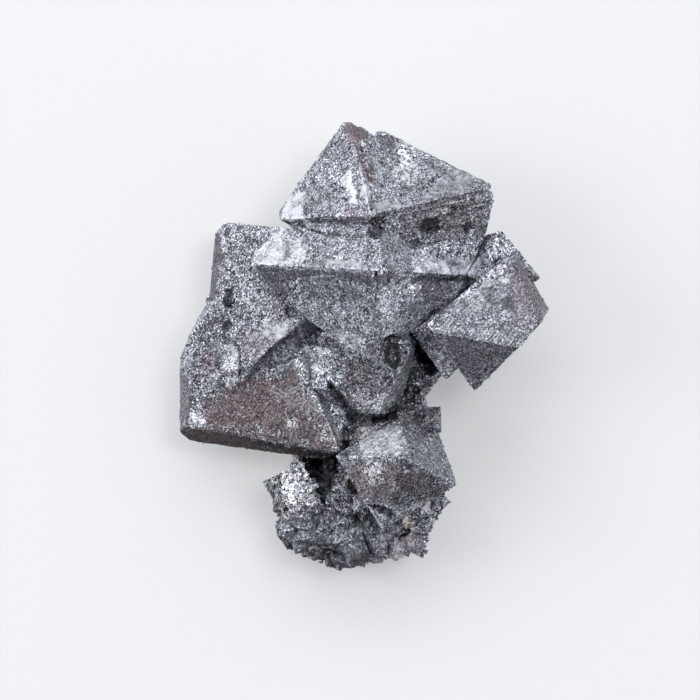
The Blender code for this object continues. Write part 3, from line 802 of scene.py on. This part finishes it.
def large_crystals():
    """The big crystals, as they stand in the CAD model."""
    below_ridge = side(17.3, 21.5, 11.5, -8, -8)
    slab_tip = 9
    slab_shift = (0, -MIDDLE.half_axis * math.sin(math.radians(slab_tip)), 0)
    slab = growth(MIDDLE.at + MIDDLE.facing @ slab_shift, 15.2, MIDDLE.facing @ turned(-slab_tip, 0, 0))
    slab_edges = [
        side(-1.6, -0.7, 18.5, -122, -25), side(2.2, 0.7, 18.5, -72, -25), side(4.7, 5.4, 18.5, -27, -10),
        side(-11.3, 5.4, 18.5, 152),
    ]
    middle_edges = [side(-1.7, -0.4, 18.5, -122, -12), side(2.2, 1.0, 18.5, -72, -12)]
    skirt_edges = [side(4.0, 0, 9, 180), side(8, 4.8, 9, 90), side(7.0, 1.7, 13.5, -88, 10)]
    right_edges = [
        side(25.8, 5.6, 15.5, -43), side(15.2, -5.9, 15.5, 213, -5), side(13.4, 7.5, 19.5, 131, -3),
    ]
    peak = growth((18.0, 10.8, 10.8), 6.6, turned(20, -10, -8))
    lower_sides = [
        side(-25.7, -13.2, 8.5, 180, -4), side(-24.3, -12.5, 10.3, 179, 35), side(-25.43, -0.54, 8.5, 153),
        side(-8.8, -14.8, 6.5, -97, -5), side(-24.4, -13.6, 6.5, -140), side(-25.2, -10.85, 9.2, -102, 30),
    ]
    neighbour_sides = [side(-1.6, -12.5, 9.5, -69, -10), side(-4.7, -0.1, 9.5, 14)]
    block_sides = [
        side(-19.1, 17.6, 10.5, 83, -5), side(-21.55, 8.42, 10.5, 175, -4), side(-20.96, 15.74, 10.5, 137),
        side(-20.2, 6.7, 10.1, 175, 35), side(-17.0, -2.6, 12.5, -95, 55),
    ]
    block_reach = {(1, 1, -1): 1.6, (1, -1, 1): 1.5, (1, -1, -1): 1.6, (-1, -1, 1): 1.6}
    lobe_normal = normal_of(LOBE, (1, 1, 1))
    lobe_top = lobe_normal, float(lobe_normal @ LOBE.at) + LOBE.half_axis / math.sqrt(3) - 0.5
    lobe_sides = [side(3.8, -8.8, 13.5, -90, -15), side(6.6, -1.5, 13.5, -15), side(-5.8, -5.9, 13.5, 176)]
    bottom_sides = [side(5.6, -8, 13.5, 90, -5), side(10.8, -8, 12.5, 12, -10)]
    lower_reach = {(1, -1, 1): 1.7, (-1, 1, 1): 1.12}
    return [
        crystal("middle_crystal", MIDDLE, planes=middle_edges),
        crystal("middle_slab", slab, planes=slab_edges),
        crystal("middle_skirt", MIDDLE._replace(half_axis=15.9), planes=skirt_edges, centre=(7.5, 3.2, 9)),
        crystal("middle_knob_1", moved(MIDDLE, 2.2, -0.6, 12.0, 3.0)),
        crystal("middle_knob_2", moved(MIDDLE, 4.0, -1.0, 10.2, 2.6)),
        crystal("middle_knob_3", moved(MIDDLE, 5.2, -2.6, 7.8, 2.5)),
        crystal("upper_left_crystal", UPPER_LEFT, {(-1, 1, -1): 1.16},
                worn(UPPER_LEFT, [(1, 0, 0), (0, 0, 1)])),
        crystal("upper_left_ridge", moved(UPPER_LEFT, 1.1, -0.3, -0.1, 11.6)),
        crystal("upper_left_foot", moved(UPPER_LEFT, 1.5, -2.0, -1.2, 11.0)),
        crystal("upper_right_crystal", UPPER_RIGHT, {(1, 1, -1): 1.07}, worn(UPPER_RIGHT, [(0, 0, 1)])),
        crystal("upper_right_step_1", UPPER_RIGHT_STEPS[0], planes=[below_ridge]),
        crystal("upper_right_step_2", UPPER_RIGHT_STEPS[1], planes=[below_ridge]),
        crystal("right_crystal", RIGHT, planes=right_edges),
        crystal("right_peak", peak, planes=[side(18.0, 16.0, 12.0, 99)]),
        crystal("lower_left_crystal", LOWER_LEFT, lower_reach, lower_sides, (-14, -6.5, 4)),
        crystal("lower_left_step", moved(LOWER_LEFT, 4.7, 1.3, -0.5, 14.5), None, neighbour_sides,
                (-9.5, -5.5, 4)),
        crystal("left_block", LEFT_BLOCK, block_reach, block_sides, (-13, 5.5, 5)),
        crystal("left_shoulder", growth((-19.9, 5.2, 7.2), 3.0, turned(20, 5, 50))),
        crystal("lobe", LOBE, planes=lobe_sides),
        crystal("lobe_side", growth((8.8, -3.7, 8.6), 1.9, turned(14, 16, 28))),
        as_body("lobe_shoulder", [
            lobe_top, side(-5.4, -2.5, 12.9, 168, 46), side(-4.0, 2.4, 10, 82, 8),
            side(-5.6, -7.4, 9, -116, 22), side(1.0, 0, 10, 0), side(-9.6, 0, 8, 172, 10),
            side(0, 0, 2, 0, -90),
        ], np.array([-4.4, -2.4, 7.0]), turned(0, 0, 45)),
        as_body("wedge", [
            side(6.86, 1.92, 11.5, 217, -8), side(12.62, -2.88, 11.5, -45), side(9.6, -1.0, 12.6, 217, 66),
            side(6.9, 3.4, 11, 135, 20), side(15.0, 1.0, 11, 37), side(0, 0, 5, 0, -90),
        ], np.array([10.0, -0.6, 9.0]), turned(0, 0, 82)),
        crystal("bottom_crystal", BOTTOM, {(1, 1, -1): 2.3}, bottom_sides),
        crystal("bottom_corner", growth((9.0, -9.9, 8.6), 2.6, turned(6, 5, 47))),
        crystal("bright_lump", growth((-9.6, -19.8, 9.0), 4.2, turned(28, 5, -12))),
    ]


def flake():
    """The flat flake on the lower left crystal's face."""
    outline = [
        (-19.8, 0.4), (-18.1, 0.8), (-17.0, -0.4), (-17.0, -3.2), (-18.4, -5.6), (-19.5, -4.7), (-20.6, -2.6),
    ]
    normal = normal_of(LOWER_LEFT, (1, 1, 1))
    offset = float(normal @ LOWER_LEFT.at) + LOWER_LEFT.half_axis / math.sqrt(3) + FLAKE_RISE
    x, y = outline[0]
    z = (offset - normal[0] * x - normal[1] * y) / normal[2]
    planes = ring(outline, z, 20) + [(normal, offset), (-normal, 4 - offset)]
    return as_body("flake", planes, np.array([-18.6, -2.4, z - 2.0]), LOWER_LEFT.facing)


ROOT_UPPER = [
    (-8.8, 16.1), (9.1, 16.6), (14.5, 11.9), (12.1, 2.6), (9.9, -4.3), (7.4, -7.0), (-6.0, -12.5),
    (-17, -9.7), (-19.1, 6.7),
]
ROOT_LOWER = [(-5.0, -6.0), (7.4, -6.5), (9.6, -14.0), (9.0, -20.0), (-3.0, -22.0), (-6.5, -13.0)]
CRUST_OUTLINE = [
    (-11.1, -20.7), (-4.7, -17.6), (10.4, -17.0), (12.1, -20.7), (8.6, -23.5), (8.2, -26.5),
    (6, -28.6), (1.5, -28.4), (-3.3, -29.8), (-5.8, -29.2), (-10.2, -25.5),
]
FOOT_OUTLINE = [(-9.0, -12.0), (-2.0, -12.0), (-2.0, -22.5), (-10.5, -22.5), (-10.0, -18.0)]


def small_octahedra(name, count, place, sizes, rng):
    """Small octahedra at any turn, in the same order of random numbers as the CAD model's."""
    bodies = []
    for index in range(count):
        at = place(rng)
        size = rng.uniform(*sizes)
        angles = [rng.uniform(0, 360) for k in range(3)]
        bodies.append(crystal("%s_%02d" % (name, index), growth(at, size, turned(*angles))))
    return bodies


def crust_octahedra():
    """The small crystals of the crust: along its lower rim, and on top of it."""
    lower_rim = CRUST_OUTLINE[3:]

    def on_top(rng):
        """A place on the crust's top."""
        return rng.uniform(-9, 8), rng.uniform(-28, -20), 10.1

    def at_rim(rng):
        """A place along the crust's rim, at any height."""
        index = rng.randrange(1, len(lower_rim))
        start, end, t = np.array(lower_rim[index - 1]), np.array(lower_rim[index]), rng.random()
        x, y = start + (end - start) * t
        return x * 0.97, y + 0.6, rng.uniform(3, 9.5)

    rng = random.Random(7)
    rim = small_octahedra("crust_rim", 34, at_rim, (1.4, 2.4), rng)
    return rim + small_octahedra("crust_top", 22, on_top, (1.3, 2.3), rng)


def root_octahedra():
    """The lumps along the broken root's sides."""
    outline = ROOT_UPPER + ROOT_LOWER
    centre = np.mean(outline, axis=0)

    def along(rng):
        """A place along the root's outline, a little way in."""
        index = rng.randrange(len(outline))
        start, end = np.array(outline[index - 1]), np.array(outline[index])
        place = start + (end - start) * rng.random()
        place = place + (centre - place) / np.linalg.norm(centre - place) * 1.6
        return place[0], place[1], rng.uniform(1.0, 6.0)

    return small_octahedra("root_lump", 26, along, (2.4, 3.8), random.Random(5))


# Finish, with painted light and shade

def wire(tree, start, end):
    """Join one node's output to another's input."""
    tree.links.new(start, end)


def maths(tree, operation, first, second=None, third=None, clamp=False):
    """A Math node; each value is a number or another node's output."""
    node = tree.nodes.new("ShaderNodeMath")
    node.operation = operation
    node.use_clamp = clamp
    for slot, value in zip(node.inputs, (first, second, third)):
        if value is None:
            continue
        if isinstance(value, (int, float)):
            slot.default_value = value
        else:
            wire(tree, value, slot)
    return node.outputs[0]


def vectors(tree, operation, first, second=None, scale=None):
    """A Vector Math node; each value is a triple or another node's output."""
    node = tree.nodes.new("ShaderNodeVectorMath")
    node.operation = operation
    for slot, value in zip(node.inputs, (first, second)):
        if value is None:
            continue
        if isinstance(value, tuple):
            slot.default_value = value
        else:
            wire(tree, value, slot)
    if scale is not None:
        if isinstance(scale, (int, float)):
            node.inputs["Scale"].default_value = scale
        else:
            wire(tree, scale, node.inputs["Scale"])
    return node.outputs[0]


def blended(tree, share, first, second):
    """A colour mix by a share from 0 to 1; each colour is a triple or another node's output."""
    node = tree.nodes.new("ShaderNodeMix")
    node.data_type = "RGBA"
    if isinstance(share, (int, float)):
        node.inputs[0].default_value = share
    else:
        wire(tree, share, node.inputs[0])
    for slot, value in ((node.inputs[6], first), (node.inputs[7], second)):
        if isinstance(value, tuple):
            slot.default_value = (*value, 1)
        else:
            wire(tree, value, slot)
    return node.outputs[2]


def stepped(tree, value, stops):
    """A colour ramp over a value: (place, grey) stops, violet where it is dark and blue where it is pale."""
    node = tree.nodes.new("ShaderNodeValToRGB")
    ramp = node.color_ramp
    while len(ramp.elements) < len(stops):
        ramp.elements.new(0.5)
    for element, (place, grey) in zip(ramp.elements, stops):
        pale = min(grey / 0.25, 1)
        element.position = place
        element.color = (grey * (1.04 - 0.12 * pale), grey * (0.94 + 0.04 * pale), grey * 1.13, 1)
    wire(tree, value, node.inputs[0])
    return node.outputs[0]


def cells(tree, place, scale):
    """Voronoi cells: a random colour for each cell."""
    node = tree.nodes.new("ShaderNodeTexVoronoi")
    node.inputs["Scale"].default_value = scale
    wire(tree, place, node.inputs["Vector"])
    return node.outputs["Color"]


def needles(tree, place, turn, shift):
    """Long thin Voronoi cells, five times as long as wide, turned by degrees: a random colour for each."""
    node = tree.nodes.new("ShaderNodeMapping")
    node.vector_type = "TEXTURE"
    node.inputs["Location"].default_value = (shift * MM, 0, 0)
    node.inputs["Rotation"].default_value = [math.radians(angle) for angle in turn]
    node.inputs["Scale"].default_value = (1, 5, 1)
    wire(tree, place, node.inputs[0])
    return cells(tree, node.outputs[0], NEEDLE_CELLS)


def part_of(tree, colour, channel):
    """One channel of a colour: 0 red, 1 green, 2 blue."""
    node = tree.nodes.new("ShaderNodeSeparateColor")
    wire(tree, colour, node.inputs[0])
    return node.outputs[channel]


def mark(tree, kind):
    """How much of a kind of mark the point carries, from its attribute."""
    node = tree.nodes.new("ShaderNodeAttribute")
    node.attribute_name = kind
    return node.outputs["Fac"]


def cloud(tree, place, scale):
    """Smooth noise from 0 to 1."""
    node = tree.nodes.new("ShaderNodeTexNoise")
    node.inputs["Scale"].default_value = scale
    node.inputs["Detail"].default_value = 3
    wire(tree, place, node.inputs["Vector"])
    return node.outputs[0]


# Cells to the metre: tiny crystals, the clumps they form, thin needles, and soft patches of shade
FINE_CELLS = 7000
COARSE_CELLS = 2500
NEEDLE_CELLS = 7600
PATCHES = 800

# How grey the fine cells are, as (place, grey) stops, and the other colours, among them the painted glints,
# the painted flashes and the near black of painted shade
GLITTER = [(0.12, 0.005), (0.30, 0.052), (0.5, 0.128), (0.72, 0.225), (0.92, 0.66)]
CALM_STEEL = (0.160, 0.170, 0.196)
PALE_NEEDLE, DARK_NEEDLE = (0.50, 0.51, 0.54), (0.02, 0.02, 0.024)
PAINTED_GLINT_WHITE, PAINTED_GLINT_GAP = (0.52, 0.535, 0.57), (0.08, 0.082, 0.095)
PAINTED_FLASH, BETWEEN_PAINTED_FLASHES = (0.78, 0.79, 0.83), (0.018, 0.018, 0.022)
PALE_FLECK = (0.60, 0.53, 0.50)
PAINTED_SHADE_BLACK = (0.006, 0.006, 0.008)

# The tints: lilac is a stain, and brown is partly a reddish stain and partly a painted warm reflection. How
# each tints what is under it, and its own colour
STAINS_AND_WARM_REFLECTION = {
    "lilac": ((1.05, 0.90, 0.98), (0.195, 0.160, 0.182)),
    "brown": ((0.98, 0.77, 0.76), (0.112, 0.078, 0.077)),
}


def tilted(tree, cell_colour, amount):
    """A random tilt for each cell: (colour - 0.5) * amount."""
    away = vectors(tree, "SUBTRACT", cell_colour, (0.5, 0.5, 0.5))
    return vectors(tree, "SCALE", away, scale=amount)


def needle_marks(tree, base, place):
    """Pale and dark needles over a base colour, in two directions."""
    for turn, shift in (((20, 15, 32), 0.0), ((-15, 25, -48), 0.37)):
        thin = needles(tree, place, turn, shift)
        for channel, colour in ((0, PALE_NEEDLE), (1, DARK_NEEDLE)):
            picked = maths(tree, "GREATER_THAN", part_of(tree, thin, channel), 0.9)
            base = blended(tree, maths(tree, "MULTIPLY", picked, 0.6), base, colour)
    return base


def glittering_hematite():
    """Steel grey metal of tiny crystals: each Voronoi cell has its own tilt, shade and gloss. Painted glints,
    flashes, light and shade are laid over it where the marks are.
    """
    material = bpy.data.materials.new("glittering_hematite")
    material.use_nodes = True
    tree = material.node_tree
    shader = tree.nodes["Principled BSDF"]
    place = tree.nodes.new("ShaderNodeTexCoord").outputs["Object"]
    fine = cells(tree, place, FINE_CELLS)
    coarse = cells(tree, place, COARSE_CELLS)
    patch = cloud(tree, place, PATCHES)
    smooth = mark(tree, "smooth")
    drift = maths(tree, "MULTIPLY_ADD", part_of(tree, fine, 1), 0.2, patch)
    bright = maths(tree, "ADD", mark(tree, "bright"), drift)
    bright = maths(tree, "MULTIPLY_ADD", bright, 2.3, -2.03, clamp=True)
    painted_sparkle = mark(tree, "painted_sparkle")
    calm = maths(tree, "MAXIMUM", smooth, maths(tree, "MULTIPLY", bright, 0.85))
    lively = maths(tree, "SUBTRACT", 1.0, maths(tree, "MULTIPLY", calm, 0.55))

    tilt = vectors(tree, "ADD", tilted(tree, fine, 0.50), tilted(tree, coarse, 0.10))
    tilt = vectors(tree, "SCALE", tilt, scale=lively)
    own = tree.nodes.new("ShaderNodeNewGeometry").outputs["Normal"]
    wire(tree, vectors(tree, "NORMALIZE", vectors(tree, "ADD", own, tilt)), shader.inputs["Normal"])

    speck = maths(tree, "MULTIPLY_ADD", part_of(tree, fine, 0), 0.88,
                  maths(tree, "MULTIPLY", part_of(tree, coarse, 1), 0.12))
    base = blended(tree, maths(tree, "MULTIPLY", calm, 0.70), stepped(tree, speck, GLITTER), CALM_STEEL)
    mottled = maths(tree, "MAXIMUM", maths(tree, "MULTIPLY_ADD", patch, 2.2, -0.1), 0.4)
    mottled = maths(tree, "MULTIPLY_ADD", maths(tree, "SUBTRACT", 1.0, mottled),
                    maths(tree, "MULTIPLY", calm, 0.6), mottled)
    base = vectors(tree, "SCALE", base, scale=mottled)
    base = needle_marks(tree, base, place)
    # Painted glints: near white, with dark gaps, where the glint marks are
    speckled = maths(tree, "MULTIPLY_ADD", patch, 1.5, maths(tree, "MULTIPLY", part_of(tree, fine, 2), 0.4))
    gap = maths(tree, "LESS_THAN", speckled, 0.79)
    glint_white = blended(tree, maths(tree, "MULTIPLY", gap, 0.75), PAINTED_GLINT_WHITE, PAINTED_GLINT_GAP)
    base = blended(tree, bright, base, glint_white)
    # Painted light: the base colour is lighter where the light marks are
    base = vectors(tree, "SCALE", base, scale=maths(tree, "MULTIPLY_ADD", mark(tree, "light"), 1.3, 1.0))
    # Tints: a lilac stain, and brown that is partly a stain and partly a painted warm reflection
    for kind, (hue, paint) in STAINS_AND_WARM_REFLECTION.items():
        tinted = blended(tree, 0.38, vectors(tree, "MULTIPLY", base, hue), paint)
        base = blended(tree, mark(tree, kind), base, tinted)
    # Painted glints: white and near black cells where the sparkle marks are
    lit_up = maths(tree, "MULTIPLY_ADD", part_of(tree, fine, 1), 0.5,
                   maths(tree, "MULTIPLY", part_of(tree, coarse, 2), 0.5))
    painted_flash = maths(tree, "GREATER_THAN", lit_up, 0.45)
    base = blended(tree, maths(tree, "MULTIPLY", painted_sparkle, 0.85), base,
                   blended(tree, painted_flash, BETWEEN_PAINTED_FLASHES, PAINTED_FLASH))
    base = blended(tree, mark(tree, "pale"), base, PALE_FLECK)
    # Painted shade: near black where the dark marks are, broken up by the fine cells
    uneven = maths(tree, "MULTIPLY_ADD", part_of(tree, fine, 0), 0.6, 0.7)
    grainy = maths(tree, "POWER", mark(tree, "dark"), uneven)
    base = blended(tree, maths(tree, "MULTIPLY", grainy, 0.94), base, PAINTED_SHADE_BLACK)
    wire(tree, base, shader.inputs["Base Color"])
    gloss = maths(tree, "MULTIPLY_ADD", part_of(tree, fine, 2), 0.25, 0.33)
    wire(tree, maths(tree, "MULTIPLY_ADD", calm, 0.08, gloss), shader.inputs["Roughness"])
    shader.inputs["Metallic"].default_value = 0.65
    return material


# Light and view

# The soft lobes of the surroundings: the way each faces, and how bright it is
LOBES = [((1, 0, 0), 1.95), ((-1, 0, 0), 2.56), ((0, 1, 0), 2.07), ((0, -1, 0), 0.20)]
SURROUNDINGS_SEEN, SURROUNDINGS_LIGHT = (0.91, 0.915, 0.93, 1), (0.945, 0.965, 1.005, 1)

# The soft lights: name, place and size in metres, and power in watts
LIGHTS = [
    ("key", (-0.15, 0.75, 0.75), (0.9, 0.5), 4.9),
    ("over", (0.35, 0.25, 1.0), (0.4, 0.4), 4.9),
    ("left", (-0.8, 0.1, 0.6), (0.5, 0.5), 3.4),
]
FLOOR_REACH = 3.0
FLOOR_FINISH = {
    "Base Color": (0.36, 0.363, 0.368, 1), "Emission Color": (0.98, 0.985, 1.0, 1),
    "Emission Strength": 0.32, "Roughness": 0.9, "Specular IOR Level": 0.1,
}
SENSOR = 36


def soft_light(name, at, size, power):
    """A white rectangular light that faces the object."""
    light = bpy.data.lights.new(name, "AREA")
    light.shape = "RECTANGLE"
    light.size, light.size_y = size
    light.energy = power
    holder = bpy.data.objects.new(name, light)
    bpy.context.scene.collection.objects.link(holder)
    holder.location = at
    holder.rotation_euler = (-Vector(at)).to_track_quat("-Z", "Y").to_euler()


def surroundings():
    """Soft surroundings: pale to the camera, and for light the sum of soft lobes, (way . lobe) ** 2 each."""
    world = bpy.data.worlds.new("studio")
    bpy.context.scene.world = world
    world.use_nodes = True
    tree = world.node_tree
    tree.nodes.clear()
    way = tree.nodes.new("ShaderNodeTexCoord").outputs["Generated"]
    total = None
    for lobe, brightness in LOBES:
        node = tree.nodes.new("ShaderNodeVectorMath")
        node.operation = "DOT_PRODUCT"
        wire(tree, way, node.inputs[0])
        node.inputs[1].default_value = lobe
        facing = maths(tree, "MAXIMUM", node.outputs["Value"], 0.0)
        share = maths(tree, "MULTIPLY", maths(tree, "MULTIPLY", facing, facing), brightness)
        total = share if total is None else maths(tree, "ADD", total, share)
    seen = tree.nodes.new("ShaderNodeBackground")
    seen.inputs[0].default_value = SURROUNDINGS_SEEN
    lit = tree.nodes.new("ShaderNodeBackground")
    lit.inputs[0].default_value = SURROUNDINGS_LIGHT
    wire(tree, total, lit.inputs[1])
    mix = tree.nodes.new("ShaderNodeMixShader")
    wire(tree, tree.nodes.new("ShaderNodeLightPath").outputs["Is Camera Ray"], mix.inputs[0])
    wire(tree, lit.outputs[0], mix.inputs[1])
    wire(tree, seen.outputs[0], mix.inputs[2])
    wire(tree, mix.outputs[0], tree.nodes.new("ShaderNodeOutputWorld").inputs[0])


def pale_floor():
    """A plain pale floor, which the lights and the metal's reflections pass over."""
    mesh = bpy.data.meshes.new("floor")
    corners = [(x * FLOOR_REACH, y * FLOOR_REACH, 0) for x, y in ((-1, -1), (1, -1), (1, 1), (-1, 1))]
    mesh.from_pydata(corners, [], [(0, 1, 2, 3)])
    material = bpy.data.materials.new("pale_floor")
    material.use_nodes = True
    shader = material.node_tree.nodes["Principled BSDF"]
    for socket, value in FLOOR_FINISH.items():
        shader.inputs[socket].default_value = value
    mesh.materials.append(material)
    floor = bpy.data.objects.new("floor", mesh)
    bpy.context.scene.collection.objects.link(floor)
    floor.visible_glossy = False


def camera():
    """The view from straight above, with a lens that makes a pixel MM_PER_PIXEL on the plane in focus."""
    view = bpy.data.cameras.new("front_view")
    view.sensor_width = SENSOR
    view.lens = SENSOR * VIEW_DISTANCE / MM_PER_PIXEL / VIEW_PIXELS
    view.clip_start, view.clip_end = 0.01, 20
    holder = bpy.data.objects.new("front_view", view)
    bpy.context.scene.collection.objects.link(holder)
    x, y = (VIEW_AT - CENTRED_BY[:2]) * MM
    holder.location = (x, y, (VIEW_PLANE + VIEW_DISTANCE) * MM)
    bpy.context.scene.camera = holder


def grid_for(body, length=CELL):
    """Cells across the folded square for about the wanted cell length, from the skin's mean radius.
    An octahedron's mean radius is about 0.66 of its half axis."""
    ways = folded_square(16)[0] @ body.axes.T
    radius = soft_radius(body, ways)[0] * np.linalg.norm(ways, axis=1)
    return max(12, 4 * round(radius.mean() / 0.66 * math.sqrt(2) / length / 2))


# An octahedron's faces, by the numbers of its CORNERS
GRAIN_FACES = np.array([
    (0, 2, 4), (2, 1, 4), (1, 3, 4), (3, 0, 4), (2, 0, 5), (1, 2, 5), (3, 1, 5), (0, 3, 5),
])


def grains(seats, count, sizes, seed, bright=0.0):
    """Tiny octahedra at any turn on a skin: six corners each, middle + size * turn @ corner."""
    rng = np.random.default_rng(seed)
    chosen = rng.choice(len(seats.places), count, replace=False)
    size = rng.uniform(*sizes, count)
    spin = rng.normal(size=(count, 4))
    w, x, y, z = (spin / np.linalg.norm(spin, axis=1)[:, None]).T
    turns = np.array([
        [1 - 2 * (y * y + z * z), 2 * (x * y - z * w), 2 * (x * z + y * w)],
        [2 * (x * y + z * w), 1 - 2 * (x * x + z * z), 2 * (y * z - x * w)],
        [2 * (x * z - y * w), 2 * (y * z + x * w), 1 - 2 * (x * x + y * y)],
    ]).transpose(2, 0, 1)
    corners = np.einsum("nij,kj->nki", turns, np.array(CORNERS, float)) * size[:, None, None]
    middles = seats.places[chosen] + seats.outward[chosen] * (size * 0.15)[:, None]
    triangles = (GRAIN_FACES + 6 * np.arange(count)[:, None, None]).reshape(-1, 3)
    own = {kind: np.repeat(values[chosen], 6) for kind, values in seats.finish.items()}
    # Some grains carry a painted glint
    at_least(own["bright"], np.repeat(bright * rng.random(count) ** 2, 6))
    points = (middles[:, None] + corners).reshape(-1, 3)
    at_least(points[:, 2], 0)
    return Cover(points, triangles, own)


def together(many):
    """The seats of several skins as one."""
    return Seats(
        np.concatenate([seats.places for seats in many]),
        np.concatenate([seats.outward for seats in many]),
        {kind: np.concatenate([seats.finish[kind] for seats in many]) for kind in KINDS},
    )


def in_hollow(body):
    """Whether a small crystal would stand in one of the deep hollows."""
    seen = seen_at(body.centre[None])
    return any(depth > 0.9 and inside_by(seen, outline)[0] > -3 for depth, dark, outline, clear in HOLLOWS)


def build():
    """Every piece of the cluster: the large crystals, the crust, the root, and the grains on them."""
    bodies = large_crystals() + [flake()]
    crust_core = block("crust", CRUST_OUTLINE, z=9.5, lean=10, top=10.5, foot=1.0, centre=(0, -23, 5.5))
    root_cores = [
        block("root_upper", ROOT_UPPER, z=7.5, lean=0, top=8.5, foot=0, centre=(-1, 3, 4)),
        block("root_lower", ROOT_LOWER, z=7.5, lean=0, top=8.5, foot=0, centre=(1, -14, 4)),
        block("root_foot", FOOT_OUTLINE, z=2.0, lean=5, top=3.0, foot=0, centre=(-6, -17, 1.5)),
    ]
    crust_small = [body for body in crust_octahedra() if not in_hollow(body)]
    root_small = [body for body in root_octahedra() if not in_hollow(body)]
    everything = bodies + [crust_core] + root_cores + crust_small + root_small
    material = glittering_hematite()
    open_seats = []
    for body in bodies:
        cover, seats = skin(body, everything, grid_for(body))
        as_piece(body.name, [cover], material)
        open_seats.append(seats)
        if body.name == "bright_lump":
            lump_grains = grains(seats, 300, sizes=(0.3, 0.7), seed=3, bright=1.0)
            as_piece("lump_grains", [lump_grains], material)
    face_grains = grains(together(open_seats), 2600, sizes=(0.08, 0.24), seed=1, bright=0.6)
    as_piece("face_grains", [face_grains], material)
    crust = [skin(crust_core, everything, 180, lumps=0.3, grain=0.5, facets=2.3)]
    crust += [skin(body, everything, 28, grain=0.4, whole=False) for body in crust_small]
    as_piece("crust", [cover for cover, seats in crust], material)
    on_crust = together([seats for cover, seats in crust])
    crust_grains = grains(on_crust, 500, sizes=(0.15, 0.55), seed=2, bright=0.2)
    as_piece("crust_grains", [crust_grains], material)
    root = [skin(body, everything, grid_for(body, 1.4 * CELL), lumps=0.3, facets=2.0) for body in root_cores]
    root += [skin(body, everything, 32, lumps=0.1, whole=False) for body in root_small]
    as_piece("root", [cover for cover, seats in root], material)


build()
surroundings()
pale_floor()
for light in LIGHTS:
    soft_light(*light)
camera()
bpy.context.scene.view_settings.view_transform = "Standard"
bpy.context.view_layer.update()
